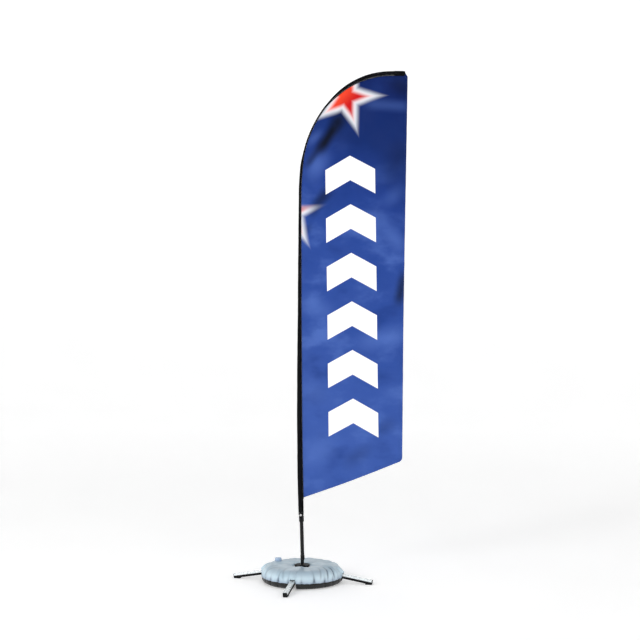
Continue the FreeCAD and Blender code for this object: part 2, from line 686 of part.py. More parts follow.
# ---- water ring ----------------------------------------------------------------------------------
def rounded_profile(corners):
    """A closed wire through corners of (radius from the axis, height, rounding)."""
    points = [Vector(r, 0, z) for r, z, _ in corners]
    edges = []
    last = None
    first = None
    for i, (_, _, rounding) in enumerate(corners):
        begin, middle, end = rounded_corner(points[i - 1], points[i], points[(i + 1) % len(points)], rounding)
        if last is not None:
            edges.append(Part.LineSegment(last, begin).toShape())
        edges.append(Part.Arc(begin, middle, end).toShape())
        first = first or begin
        last = end
    edges.append(Part.LineSegment(last, first).toShape())
    return Part.Wire(edges)


def bag_solid(inset):
    """The filled ring, drawn in by an inset, with a channel over each leg that the leg swings down from."""
    corners = (
        (BAG_HOLE_R + inset, BAG_BOTTOM + inset, BAG_INNER_FOOT_R - inset),
        (BAG_HOLE_R + inset, BAG_TOP - inset, BAG_RIM_R - inset),
        (BAG_OUTER_R - inset, BAG_TOP - inset, BAG_SHOULDER_R - inset),
        (BAG_OUTER_R - inset, BAG_BOTTOM + inset, BAG_OUTER_FOOT_R - inset),
    )
    bag = Part.Face(rounded_profile(corners)).revolve(ORIGIN, Z_AXIS, 360)
    half = LEG_WIDTH / 2 + LEG_CHANNEL_GAP + inset
    channel = leg_frame(block(-LEG_PIVOT_R, LEG_LENGTH, -half, half,
                              -LEG_LENGTH, LEG_HEIGHT / 2 + LEG_CHANNEL_GAP + inset))
    for i in range(len(LEG_NAMES)):
        bag = bag.cut(round_leg(channel, i))
    return bag


def neck_spot():
    angle = math.radians(NECK_TURN)
    return NECK_AT_R * math.cos(angle), NECK_AT_R * math.sin(angle)


def bag_skin():
    x, y = neck_spot()
    skin = bag_solid(0).cut(bag_solid(BAG_SKIN))
    return skin.cut(disc(NECK_BORE_R, BAG_TOP - 3 * BAG_SKIN, BAG_TOP + 1, x, y))


def ballast_water():
    return bag_solid(BAG_SKIN + FIT_GAP)


def filler_neck():
    x, y = neck_spot()
    base = BAG_TOP + FIT_GAP
    flange = disc(NECK_FLANGE_R, base, base + NECK_FLANGE_T, x, y)
    neck = flange.fuse(disc(NECK_R, base, base + NECK_HEIGHT, x, y)).removeSplitter()
    return neck.cut(disc(NECK_BORE_R, base - 1, base + NECK_HEIGHT + 1, x, y))


def cap_gasket():
    x, y = neck_spot()
    base = BAG_TOP + FIT_GAP + NECK_HEIGHT + FIT_GAP
    return ring(NECK_R, NECK_BORE_R, base, base + GASKET_T, x, y)


def filler_cap():
    x, y = neck_spot()
    bottom = BAG_TOP + CAP_BOTTOM
    under_roof = BAG_TOP + 2 * FIT_GAP + NECK_HEIGHT + GASKET_T + FIT_GAP
    cap = disc(CAP_R - CAP_RIB_R, bottom, bottom + CAP_HEIGHT, x, y)
    cap = cap.cut(disc(NECK_R + CAP_SKIRT_GAP, bottom - 1, under_roof, x, y))
    for i in range(CAP_RIB_COUNT):
        angle = 2 * math.pi * i / CAP_RIB_COUNT
        rib_x = x + (CAP_R - CAP_RIB_R) * math.cos(angle)
        rib_y = y + (CAP_R - CAP_RIB_R) * math.sin(angle)
        cap = cap.fuse(disc(CAP_RIB_R, bottom, bottom + CAP_HEIGHT - CAP_RIB_SHORT, rib_x, rib_y))
    return cap.removeSplitter()


# ---- all the nodes -------------------------------------------------------------------------------
def all_nodes():
    nodes = {
        "hub": hub(),
        "bearing_housing": bearing_housing(),
        "spindle": spindle(),
        "spindle_circlip": spindle_circlip(),
        "bearing_spacer": bearing_spacer(),
        "dust_cap": dust_cap(),
        "pole_foot_ferrule": foot_ferrule(),
        "pole_bottom_section": pole_tube(0),
        "pole_middle_section": pole_tube(1),
        "pole_upper_section": pole_tube(2),
        "pole_tip_rod": tip_rod(),
        "pole_tip_cap": tip_cap(),
        "tension_collar": tension_collar(),
        "collar_screw": collar_screw(),
        "tension_strap": tension_strap(),
        "strap_eyelet": strap_eyelet(),
        "tip_pocket": tip_pocket(),
        "pole_sleeve": pole_sleeve(),
        "flag_panel": flag_panel(),
        "bag_skin": bag_skin(),
        "ballast_water": ballast_water(),
        "filler_neck": filler_neck(),
        "cap_gasket": cap_gasket(),
        "filler_cap": filler_cap(),
    }
    for name, bottom in zip(("lower", "upper"), BEARING_BOTTOMS):
        nodes[name + "_bearing_outer_race"] = outer_race(bottom)
        nodes[name + "_bearing_inner_race"] = inner_race(bottom)
        nodes[name + "_bearing_balls"] = group(bearing_balls(bottom))
        nodes[name + "_bearing_cage"] = bearing_cage(bottom)
    for index, name in enumerate(("lower", "middle", "upper")):
        nodes[name + "_pole_ferrule"] = pole_ferrule(index)
        nodes[name + "_joint_cup"] = joint_cup(index)
    for index, name in enumerate(LEG_NAMES):
        nodes[name + "_leg_tube"] = round_leg(leg_tube(), index)
        nodes[name + "_leg_bush"] = round_leg(leg_bush(), index)
        nodes[name + "_leg_runner"] = round_leg(leg_runner(), index)
        nodes[name + "_leg_foot"] = round_leg(leg_foot(), index)
    for name, fastener in (("hinge_bolts", hinge_bolt()), ("hinge_nuts", hinge_nut()),
                           ("hinge_washers", hinge_washers())):
        nodes[name] = group([round_leg(fastener, i) for i in range(len(LEG_NAMES))])
    return nodes


os.makedirs("parts", exist_ok=True)
for node_name, node_shape in all_nodes().items():
    node_shape.exportStep("parts/" + node_name + ".step")
    print(node_name, "valid", node_shape.isValid(), "solids", len(node_shape.Solids),
          "cm3 %.2f" % (node_shape.Volume / 1000))
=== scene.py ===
"""Looks of a feather flag: printed cloth in a black sleeve, a bent pole, a cross base and a ring of water.

Metres, in the CAD model's frame: +Z up, the origin on the ground under the hub, the flag in the XZ plane with
its fly edge towards +X. The cloth, the sleeve, the tip pocket, the strap and the water ring are built here.
The rest are the CAD's own nodes with a soft edge and a material.
"""
import math

import bmesh
import bpy
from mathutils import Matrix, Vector, noise


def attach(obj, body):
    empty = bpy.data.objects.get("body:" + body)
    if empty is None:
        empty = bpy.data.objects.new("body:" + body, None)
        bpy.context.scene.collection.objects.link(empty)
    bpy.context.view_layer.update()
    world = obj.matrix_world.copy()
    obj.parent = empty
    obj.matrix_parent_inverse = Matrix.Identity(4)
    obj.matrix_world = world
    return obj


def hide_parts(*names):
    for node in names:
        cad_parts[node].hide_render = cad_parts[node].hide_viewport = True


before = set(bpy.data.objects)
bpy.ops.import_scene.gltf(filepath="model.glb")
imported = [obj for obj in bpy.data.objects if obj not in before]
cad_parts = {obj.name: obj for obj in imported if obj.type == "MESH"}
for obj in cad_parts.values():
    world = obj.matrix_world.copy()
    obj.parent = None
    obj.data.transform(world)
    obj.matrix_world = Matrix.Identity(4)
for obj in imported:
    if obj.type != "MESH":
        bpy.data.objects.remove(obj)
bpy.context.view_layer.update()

MM = 0.001

# The pole's centreline: its foot, its lean from +Z towards +X, and stretches of (length, bend), all in mm
# and degrees.
POLE_FOOT = (1.5, 147.7)
POLE_LEAN = -1.6
BENDS = ((500, 0), (700, 1.8), (1228, 0), (198, 6), (513, 38), (418, 47), (108, 3.2))
POLE_LENGTH = sum(length for length, _ in BENDS)

# The sleeve: distance along the pole, outer edge from the centreline, width, thickness, in mm.
SLEEVE = (
    (293, 19.0, 36.0, 33.0), (400, 20.0, 38.0, 33.0), (550, 20.0, 39.0, 33.0), (700, 18.0, 37.5, 32.0),
    (1000, 16.4, 36.0, 31.5), (1060, 15.8, 35.0, 31.0), (1450, 14.0, 30.0, 27.0), (1730, 12.2, 25.0, 23.5),
    (1960, 11.8, 24.0, 23.2), (2150, 9.8, 20.0, 18.5), (2560, 8.8, 18.0, 17.0), (2645, 8.7, 17.6, 17.0),
    (2700, 6.4, 13.0, 12.6), (2780, 4.9, 9.8, 9.6), (3060, 4.9, 9.8, 9.6), (3180, 5.6, 22.0, 10.4),
    (3400, 6.6, 32.0, 12.6), (POLE_LENGTH + 2, 6.6, 31.0, 13.0),
)
FLY_TOP = (711.0, 3347.0)
FLY_BOTTOM = (675.0, 824.0)
HOIST_BOTTOM = 553.0
FLY_CORNER = 32.0


def held_between(value, low, high):
    return min(max(value, low), high)


def smooth(value, low, high):
    """0 below low, 1 above high, and a smooth step between."""
    share = held_between((value - low) / (high - low), 0.0, 1.0)
    return share * share * (3 - 2 * share)


def pole_at(along):
    """The centreline's x, z and heading at a distance along it, in mm and radians."""
    x, z = POLE_FOOT
    heading = math.radians(POLE_LEAN)
    left = along
    for length, bend in BENDS:
        step = min(left, length)
        turn = math.radians(bend) * step / length
        chord = step if abs(turn) < 1e-9 else step * math.sin(turn / 2) / (turn / 2)
        x += chord * math.sin(heading + turn / 2)
        z += chord * math.cos(heading + turn / 2)
        heading += turn
        left -= step
        if left <= 0:
            return x, z, heading
    return x + left * math.sin(heading), z + left * math.cos(heading), heading


def beside_pole(along, toward_flag, y=0.0):
    """A point in metres, offset in mm from the centreline."""
    x, z, heading = pole_at(along)
    return Vector((x + toward_flag * math.cos(heading), y, z - toward_flag * math.sin(heading))) * MM


def sleeve_at(along):
    """Outer edge, width and thickness of the sleeve, in mm."""
    for low, high in zip(SLEEVE, SLEEVE[1:]):
        if along <= high[0]:
            share = held_between((along - low[0]) / (high[0] - low[0]), 0.0, 1.0)
            return [a + share * (b - a) for a, b in zip(low[1:], high[1:])]
    return list(SLEEVE[-1][1:])


# ---- materials -----------------------------------------------------------------------------------
def linear(r, g, b):
    """A screen colour from 0 to 255 as Blender's linear colour."""
    def one(value):
        value /= 255
        return value / 12.92 if value <= 0.04045 else ((value + 0.055) / 1.055) ** 2.4
    return one(r), one(g), one(b), 1.0


class Nodes:
    """A material's node tree, with short calls for the nodes used here."""

    def __init__(self, name, roughness=0.5, metallic=0.0, **sockets):
        self.material = bpy.data.materials.new(name)
        self.material.use_nodes = True
        self.tree = self.material.node_tree
        self.shader = self.tree.nodes["Principled BSDF"]
        self.shader.inputs["Roughness"].default_value = roughness
        self.shader.inputs["Metallic"].default_value = metallic
        for socket, value in sockets.items():
            self.shader.inputs[socket.replace("_", " ")].default_value = value

    def add(self, kind, **settings):
        node = self.tree.nodes.new(kind)
        for key, value in settings.items():
            setattr(node, key, value)
        return node

    def link(self, source, target):
        self.tree.links.new(source, target)

    def feed(self, value, socket):
        if hasattr(value, "links"):
            self.link(value, socket)
        else:
            socket.default_value = value

    def place(self):
        return self.add("ShaderNodeTexCoord").outputs["Object"]

    def uv(self):
        return self.add("ShaderNodeTexCoord").outputs["UV"]

    def split(self, vector):
        return self.add_fed("ShaderNodeSeparateXYZ", vector).outputs

    def add_fed(self, kind, *values, **settings):
        node = self.add(kind, **settings)
        for value, socket in zip(values, node.inputs):
            self.feed(value, socket)
        return node

    def math(self, operation, *values, clamp=False):
        return self.add_fed("ShaderNodeMath", *values, operation=operation, use_clamp=clamp).outputs[0]

    def times(self, first, second):
        return self.math("MULTIPLY", first, second)

    def hypotenuse(self, first, second):
        return self.math("SQRT", self.math("ADD", self.times(first, first), self.times(second, second)))

    def step(self, value, low, high, to_low=0.0, to_high=1.0):
        """A smooth step from to_low to to_high as the value goes from low to high."""
        return self.add_fed("ShaderNodeMapRange", value, low, high, to_low, to_high,
                            interpolation_type="SMOOTHSTEP").outputs[0]

    def step_line(self, value, low, high, to_low=0.0, to_high=1.0):
        """The same with a straight slope."""
        return self.add_fed("ShaderNodeMapRange", value, low, high, to_low, to_high).outputs[0]

    def mix(self, share, first, second):
        node = self.add("ShaderNodeMix", data_type="RGBA")
        self.feed(share, node.inputs[0])
        self.feed(first, node.inputs[6])
        self.feed(second, node.inputs[7])
        return node.outputs[2]

    def noise(self, scale, detail=3.0, vector=None, stretch=None):
        node = self.add("ShaderNodeTexNoise")
        node.inputs["Scale"].default_value = scale
        node.inputs["Detail"].default_value = detail
        vector = self.place() if vector is None else vector
        if stretch:
            mapping = self.add("ShaderNodeMapping")
            mapping.inputs["Scale"].default_value = stretch
            self.link(vector, mapping.inputs["Vector"])
            vector = mapping.outputs[0]
        self.link(vector, node.inputs["Vector"])
        return node.outputs["Fac"]

    def ramp(self, value, *stops):
        """stops are (position, colour)."""
        node = self.add("ShaderNodeValToRGB")
        elements = node.color_ramp.elements
        while len(elements) < len(stops):
            elements.new(0.5)
        for element, (position, colour) in zip(elements, stops):
            element.position = position
            element.color = colour
        self.link(value, node.inputs[0])
        return node.outputs[0]

    def colour(self, value):
        self.feed(value, self.shader.inputs["Base Color"])

    def rough(self, value):
        self.link(value, self.shader.inputs["Roughness"])

    def bump(self, height, distance, strength=1.0):
        node = self.add("ShaderNodeBump")
        node.inputs["Strength"].default_value = strength
        node.inputs["Distance"].default_value = distance
        self.link(height, node.inputs["Height"])
        if self.shader.inputs["Normal"].links:
            self.link(self.shader.inputs["Normal"].links[0].from_socket, node.inputs["Normal"])
        self.link(node.outputs[0], self.shader.inputs["Normal"])


def weave(nodes, pitch, distance, strength=0.6):
    """Warp and weft as bump, from UVs in metres."""
    u, v, _ = nodes.split(nodes.uv())
    turn = 2 * math.pi / pitch
    warp = nodes.math("SINE", nodes.times(u, turn))
    weft = nodes.math("SINE", nodes.times(v, turn))
    nodes.bump(nodes.times(warp, weft), distance, strength)
    return nodes.times(warp, weft)


def metal(name, colour, dark, roughness, metallic=1.0, grain=(1.0, 1.0, 1.0), **sockets):
    """Metal with rubbed streaks and fine scratches."""
    nodes = Nodes(name, roughness, metallic, **sockets)
    streak = nodes.noise(90, 4, stretch=grain)
    nodes.colour(nodes.ramp(streak, (0.3, dark), (0.65, colour)))
    fine = nodes.noise(700, 2, stretch=grain)
    nodes.rough(nodes.step(nodes.math("ADD", streak, nodes.times(fine, 0.5)), 0.4, 1.1,
                           roughness * 0.7, roughness * 1.5))
    nodes.bump(fine, 0.00008, 0.5)
    return nodes.material


def moulded(name, colour, worn, roughness, **sockets):
    """Moulded plastic or rubber: a fine grain and paler scuffs."""
    nodes = Nodes(name, roughness, Specular_IOR_Level=0.2, **sockets)
    scuff = nodes.noise(28, 5)
    nodes.colour(nodes.ramp(scuff, (0.45, colour), (0.75, worn)))
    grain = nodes.noise(1800, 2)
    nodes.rough(nodes.step(scuff, 0.3, 0.8, roughness * 0.85, min(1.0, roughness * 1.2)))
    nodes.bump(grain, 0.00006, 0.5)
    return nodes.material


def satin_black(name, roughness, colour=(0.0025, 0.0025, 0.003, 1), worn=(0.014, 0.014, 0.016, 1)):
    """Satin black finish with faint marks along the pole."""
    nodes = Nodes(name, roughness, 0.0, Specular_IOR_Level=0.25)
    rub = nodes.noise(60, 5, stretch=(1.0, 1.0, 0.12))
    nodes.colour(nodes.ramp(rub, (0.5, colour), (0.85, worn)))
    nodes.rough(nodes.step(rub, 0.3, 0.8, roughness * 0.8, roughness * 1.35))
    nodes.bump(nodes.noise(900, 2, stretch=(1.0, 1.0, 0.2)), 0.00005, 0.4)
    return nodes.material


def black_cloth(name, pitch):
    nodes = Nodes(name, 0.85, Specular_IOR_Level=0.09)
    threads = weave(nodes, pitch, 0.00018)
    worn = nodes.noise(35, 4)
    shade = nodes.math("ADD", nodes.times(threads, 0.12), worn)
    nodes.colour(nodes.ramp(shade, (0.3, (0.0012, 0.0012, 0.0018, 1)), (0.8, (0.006, 0.006, 0.008, 1))))
    return nodes.material


def thread_material(name, colour):
    nodes = Nodes(name, 0.7, Sheen_Weight=0.2)
    twist = nodes.noise(2500, 2)
    nodes.colour(nodes.mix(twist, colour, tuple(min(1.0, 1.8 * c) for c in colour[:3]) + (1,)))
    nodes.bump(twist, 0.0001, 0.6)
    return nodes.material


# ---- the flag's print ----------------------------------------------------------------------------
CHEVRON_COUNT = 6
CHEVRON_BOTTOM = 0.985
CHEVRON_TOP = 2.92
CHEVRON_HALF = 0.168
CHEVRON_X_BOTTOM = 0.349  # the column's middle, which follows the fly edge's slant
CHEVRON_X_TOP = 0.324
CHEVRON_SLOPE = 0.55
CHEVRON_SHARE = 0.50


def line_mask(nodes, x, z, start, end, half_width):
    """A soft streak from start to end, strongest on its line."""
    along = Vector((end[0] - start[0], end[1] - start[1]))
    length = along.length
    along /= length
    dx = nodes.math("SUBTRACT", x, start[0])
    dz = nodes.math("SUBTRACT", z, start[1])
    run = nodes.math("ADD", nodes.times(dx, along.x), nodes.times(dz, along.y))
    off = nodes.math("ABSOLUTE", nodes.math("SUBTRACT", nodes.times(dx, along.y),
                                            nodes.times(dz, along.x)))
    side = nodes.step(off, 0.0, half_width, 1.0, 0.0)
    first = nodes.step(run, -half_width, half_width)
    last = nodes.step(run, length - half_width, length + half_width, 1.0, 0.0)
    return nodes.times(side, nodes.times(first, last))


def chevron_mask(nodes, x, z):
    """A column of chevrons that point up."""
    pitch = (CHEVRON_TOP - CHEVRON_BOTTOM) / CHEVRON_COUNT
    middle = nodes.step_line(z, CHEVRON_BOTTOM, CHEVRON_TOP, CHEVRON_X_BOTTOM, CHEVRON_X_TOP)
    off = nodes.math("ABSOLUTE", nodes.math("SUBTRACT", x, middle))
    rise = nodes.times(off, CHEVRON_SLOPE)
    phase = nodes.math("DIVIDE", nodes.math("SUBTRACT", nodes.math("ADD", z, rise), CHEVRON_BOTTOM), pitch)
    turn = nodes.math("FRACT", phase)
    edge = 0.004
    inside = nodes.times(nodes.step(turn, 0.5 - CHEVRON_SHARE / 2 - edge, 0.5 - CHEVRON_SHARE / 2),
                        nodes.step(turn, 0.5 + CHEVRON_SHARE / 2, 0.5 + CHEVRON_SHARE / 2 + edge, 1.0, 0.0))
    column = nodes.step(off, CHEVRON_HALF - 0.001, CHEVRON_HALF, 1.0, 0.0)
    first = nodes.math("GREATER_THAN", phase, 0.0)
    last = nodes.math("LESS_THAN", phase, float(CHEVRON_COUNT))
    return nodes.times(nodes.times(inside, column), nodes.times(first, last))


def star_distance(nodes, x, z, centre, turn):
    """0 at a five-point star's middle and 1 on its outline of unit size."""
    dx = nodes.math("SUBTRACT", x, centre[0])
    dz = nodes.math("SUBTRACT", z, centre[1])
    far = nodes.hypotenuse(dx, dz)
    angle = nodes.math("ADD", nodes.math("ARCTAN2", dz, dx), math.radians(turn) + 4 * math.pi)
    sector = 2 * math.pi / 5
    within = nodes.math("FLOORED_MODULO", angle, sector)
    folded = nodes.math("ABSOLUTE", nodes.math("SUBTRACT", within, sector / 2))
    # folded is 0 between two points and sector / 2 on a point; the outline is a straight edge between them.
    notch = 0.40
    edge_x = math.cos(sector / 2) - notch
    edge_y = math.sin(sector / 2)
    length = math.hypot(edge_x, edge_y)
    across = nodes.math("ADD", nodes.times(nodes.math("COSINE", folded), edge_y / length),
                        nodes.times(nodes.math("SINE", folded), -edge_x / length))
    reach = notch * edge_y / length
    return nodes.math("DIVIDE", nodes.times(far, across), reach)


def print_material():
    nodes = Nodes("printed_cloth", 0.78, Sheen_Weight=0.03, Sheen_Roughness=0.5, Specular_IOR_Level=0.12)
    x, _, z = nodes.split(nodes.place())
    light = linear(78, 108, 182)
    drift = nodes.times(nodes.math("SUBTRACT", nodes.noise(2.4, 3), 0.5), 0.55)
    lean = nodes.times(x, 0.45)
    height = nodes.math("ADD", nodes.math("ADD", z, lean), drift)
    base = nodes.ramp(nodes.step_line(height, 0.5, 3.7, 0.0, 1.0), *PRINT_STOPS)
    cloud = nodes.noise(3.1, 4, stretch=(1.0, 1.0, 1.7))
    low = nodes.step_line(height, 3.1, 2.4, 0.0, 1.0)
    base = nodes.mix(nodes.times(nodes.step(cloud, 0.48, 0.72, 0.0, 0.75), low), base, light)
    base = nodes.mix(nodes.step(cloud, 0.48, 0.28, 0.0, 0.45), base, linear(22, 50, 118))
    for start, end, half, share in LIGHT_BANDS:
        base = nodes.mix(nodes.times(line_mask(nodes, x, z, start, end, half), share), base, light)
    for start, end, half, share in DARK_STREAKS:
        base = nodes.mix(nodes.times(line_mask(nodes, x, z, start, end, half), share), base,
                         linear(1, 10, 32))
    white = (0.90, 0.92, 0.95, 1)
    glow = nodes.step_line(nodes.math("SUBTRACT", z, nodes.times(x, 1.0)), 2.86, 3.0)
    red = nodes.mix(glow, linear(198, 20, 24), linear(244, 76, 46))
    limits = (None, nodes.step(z, 2.53, 2.47))
    for (centre, radius, turn), limit in zip(STARS, limits):
        shape = star_distance(nodes, x, z, centre, turn)
        border = nodes.step(shape, radius * 1.28, radius * 0.62)
        core = nodes.step(shape, radius * 0.92, radius * 0.38)
        if limit is not None:
            border = nodes.times(border, limit)
        base = nodes.mix(border, base, white)
        base = nodes.mix(nodes.times(core, border), base, red)
    base = nodes.mix(chevron_mask(nodes, x, z), base, (0.96, 0.96, 0.97, 1))
    threads = weave(nodes, 0.0011, 0.00010, 0.5)
    base = nodes.mix(nodes.step_line(threads, -1, 1, 0.0, 0.07), base, (0.0, 0.0, 0.01, 1))
    nodes.colour(base)
    nodes.rough(nodes.step(nodes.noise(5, 3), 0.3, 0.7, 0.7, 0.86))
    nodes.bump(nodes.noise(14, 4), 0.0012, 0.25)
    return nodes.material


# The print's colours up the flag, as (share of the height, colour).
PRINT_STOPS = (
    (0.0, linear(55, 85, 160)), (0.22, linear(56, 86, 162)), (0.42, linear(44, 74, 150)),
    (0.62, linear(38, 68, 144)), (0.72, linear(27, 56, 130)), (0.82, linear(13, 40, 102)),
    (0.92, linear(8, 34, 96)), (1.0, linear(2, 24, 82)),
)
# The stars: (middle, radius, degrees turned).
STARS = (((0.300, 3.232), 0.236, 0.5), ((-0.085, 2.49), 0.25, 62.0))
# Broad lighter and darker strokes of the print: (start, end, half width, strength).
LIGHT_BANDS = (
    ((0.06, 2.72), (0.14, 2.84), 0.10, 0.65), ((0.56, 2.36), (0.68, 2.22), 0.09, 0.55),
    ((0.04, 2.93), (0.12, 3.00), 0.05, 0.35), ((0.40, 1.60), (0.70, 1.66), 0.11, 0.6),
    ((0.02, 1.86), (0.16, 1.80), 0.11, 0.7), ((0.02, 1.30), (0.16, 1.24), 0.13, 0.5),
    ((0.55, 1.26), (0.68, 1.27), 0.08, 0.35), ((0.02, 0.80), (0.20, 0.95), 0.14, 0.6),
    ((0.44, 3.18), (0.72, 3.15), 0.06, 0.28), ((0.56, 2.52), (0.66, 2.60), 0.08, 0.3),
)
DARK_STREAKS = (
    ((0.268, 3.12), (0.225, 3.02), 0.085, 1.0), ((0.235, 3.06), (0.12, 2.88), 0.062, 1.0),
    ((0.14, 2.93), (0.03, 2.78), 0.042, 0.55), ((0.62, 3.34), (0.72, 3.24), 0.10, 0.55),
    ((0.17, 2.62), (0.06, 2.46), 0.060, 0.6), ((0.20, 2.60), (0.12, 2.54), 0.05, 0.4),
    ((0.01, 2.33), (0.05, 2.38), 0.05, 0.4), ((0.69, 2.05), (0.65, 1.86), 0.06, 0.75),
    ((0.30, 1.50), (0.42, 1.44), 0.07, 0.3), ((0.45, 0.90), (0.30, 0.80), 0.08, 0.25),
    ((0.62, 1.08), (0.50, 1.00), 0.07, 0.25), ((0.68, 2.90), (0.60, 2.70), 0.12, 0.3),
)


# ---- mesh helpers --------------------------------------------------------------------------------
def make_object(name, verts, faces, material, body, smooth_faces=True):
    mesh = bpy.data.meshes.new(name)
    mesh.from_pydata([tuple(v) for v in verts], [], faces)
    mesh.validate()
    mesh.polygons.foreach_set("use_smooth", [smooth_faces] * len(mesh.polygons))
    obj = bpy.data.objects.new(name, mesh)
    bpy.context.scene.collection.objects.link(obj)
    mesh.materials.append(material)
    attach(obj, body)
    return obj


def grid_faces(rows, columns, wrap=False, start=0):
    faces = []
    for i in range(rows - 1):
        for j in range(columns if wrap else columns - 1):
            k = (j + 1) % columns
            faces.append((start + i * columns + j, start + i * columns + k,
                          start + (i + 1) * columns + k, start + (i + 1) * columns + j))
    return faces


def set_uv(obj, coordinates):
    """coordinates hold one (u, v) for each vertex."""
    layer = obj.data.uv_layers.new(name="cloth")
    for loop in obj.data.loops:
        layer.data[loop.index].uv = coordinates[loop.vertex_index]


def face_outward(obj):
    bm = bmesh.new()
    bm.from_mesh(obj.data)
    bmesh.ops.recalc_face_normals(bm, faces=bm.faces)
    bm.to_mesh(obj.data)
    bm.free()


def solidify(obj, thickness, offset=0.0):
    modifier = obj.modifiers.new("cloth_thickness", "SOLIDIFY")
    modifier.thickness = thickness
    modifier.offset = offset
    modifier.use_even_offset = False


def stitch_row(points, normals, length, gap, radius):
    """Stitches along a line of points: short threads that dip into the cloth at both ends."""
    verts, faces = [], []
    sides, slices = 5, 5
    run = 0.0
    spots = []
    for a, b in zip(points, points[1:]):
        span = (b - a).length
        while run <= span:
            spots.append((a + (b - a) * (run / span), (b - a).normalized(), len(spots)))
            run += length + gap
        run -= span
    for centre, along, index in spots:
        normal = normals(centre)
        sideways = along.cross(normal).normalized()
        start = len(verts)
        for i in range(slices):
            share = i / (slices - 1)
            lift = math.sin(math.pi * share)
            middle = centre + along * ((share - 0.5) * length) + normal * (radius * (1.4 * lift - 0.5))
            thick = radius * (0.55 + 0.45 * lift)
            for j in range(sides):
                turn = 2 * math.pi * j / sides
                verts.append(middle + (sideways * math.cos(turn) + normal * math.sin(turn)) * thick)
        faces += grid_faces(slices, sides, wrap=True, start=start)
        faces.append(tuple(range(start + sides - 1, start - 1, -1)))
        last = start + (slices - 1) * sides
        faces.append(tuple(range(last, last + sides)))
    return verts, faces


def sew(name, rows, material):
    """One piece of all the rows, each as (points, normals, length, gap, radius)."""
    verts, faces = [], []
    for row in rows:
        row_verts, row_faces = stitch_row(*row)
        start = len(verts)
        verts += row_verts
        faces += [tuple(start + k for k in face) for face in row_faces]
    seam = make_object(name, verts, faces, material, "pole")
    return seam


def facing(side):
    """The direction out of the cloth on one side, the same at every point."""
    return lambda _: Vector((0, side, 0))


# ---- the cloth -----------------------------------------------------------------------------------
def fold_depth(x, z, from_hoist, top_share):
    """How far the cloth stands out of its plane, in mm: tension folds off the curve and soft long waves."""
    depth = 0.0
    for x0, z0, x1, z1, width, height, taper in FOLDS:
        along_x, along_z = x1 - x0, z1 - z0
        length = math.hypot(along_x, along_z)
        along_x, along_z = along_x / length, along_z / length
        run = ((x - x0) * along_x + (z - z0) * along_z) / length
        if -0.25 < run < 1.25:
            off = (x - x0) * along_z - (z - z0) * along_x
            spread = width * (1 + taper * held_between(run, 0, 1))
            fade = smooth(run, -0.2, 0.1) * (1 - smooth(run, 0.6, 1.2))
            depth += height * fade * math.exp(-(off / spread) ** 2)
    depth += 3.2 * math.sin(z / 260 + x / 190) * math.sin(x / 160 + 0.6)
    depth += 1.6 * noise.noise(Vector((x / 90, z / 140, 3.0)))
    held = smooth(from_hoist, 4, 90)
    return depth * held * (1 - 0.6 * top_share)


# Folds as (start x, start z, end x, end z, half width, height, spread towards the end) in mm.
FOLDS = (
    (255, 3225, 150, 2890, 20, 7.0, 1.2), (330, 3290, 240, 3010, 22, -5.5, 0.9),
    (140, 3120, 70, 2850, 15, -4.5, 0.8), (430, 3330, 380, 2950, 26, 5.0, 1.2),
    (30, 2700, 160, 2480, 26, 5.5, 0.8), (20, 2350, 260, 2200, 40, -4.0, 0.8),
    (690, 2140, 520, 1900, 42, 4.5, 0.8), (20, 1900, 420, 1760, 60, 4.0, 0.6),
    (20, 1450, 500, 1330, 60, -3.5, 0.6), (680, 1380, 420, 1180, 52, 4.0, 0.7),
    (10, 700, 330, 820, 26, 5.0, 1.0), (20, 900, 420, 1010, 46, -4.0, 0.6),
    (640, 830, 500, 1010, 24, 4.0, 1.0),
)


def hoist_start():
    """How far along the pole the flag's hoist begins, in mm."""
    return next(along for along in range(SLEEVE[0][0], 700) if pole_at(along)[1] >= HOIST_BOTTOM)


def border(length_share, start):
    """A point on the hoist, at a share of the way up it."""
    along = start + (POLE_LENGTH - start) * length_share
    x, z, _ = pole_at(along)
    return x, z, along


def fly_point(share):
    """A point on the fly edge, at a share of the way up."""
    x = FLY_BOTTOM[0] + (FLY_TOP[0] - FLY_BOTTOM[0]) * share
    z = FLY_BOTTOM[1] + (FLY_TOP[1] - FLY_BOTTOM[1]) * share
    # The fly edge bows in a little between its ends.
    x -= 9.0 * math.sin(math.pi * share) ** 2 * (1 - share)
    return x, z


def foot_point(share, start):
    """A point on the slanting foot, from the hoist out to the fly's corner."""
    x0, z0, _ = border(0.0, start)
    x1, z1 = FLY_BOTTOM
    sag = 7.0 * math.sin(math.pi * share)
    return x0 + (x1 - x0) * share, z0 + (z1 - z0) * share - sag


def top_point(share, start):
    x0, z0, _ = border(1.0, start)
    x1, z1 = FLY_TOP
    return x0 + (x1 - x0) * share, z0 + (z1 - z0) * share


HEM_START = 3  # columns of the cloth that are inside the sleeve's seam


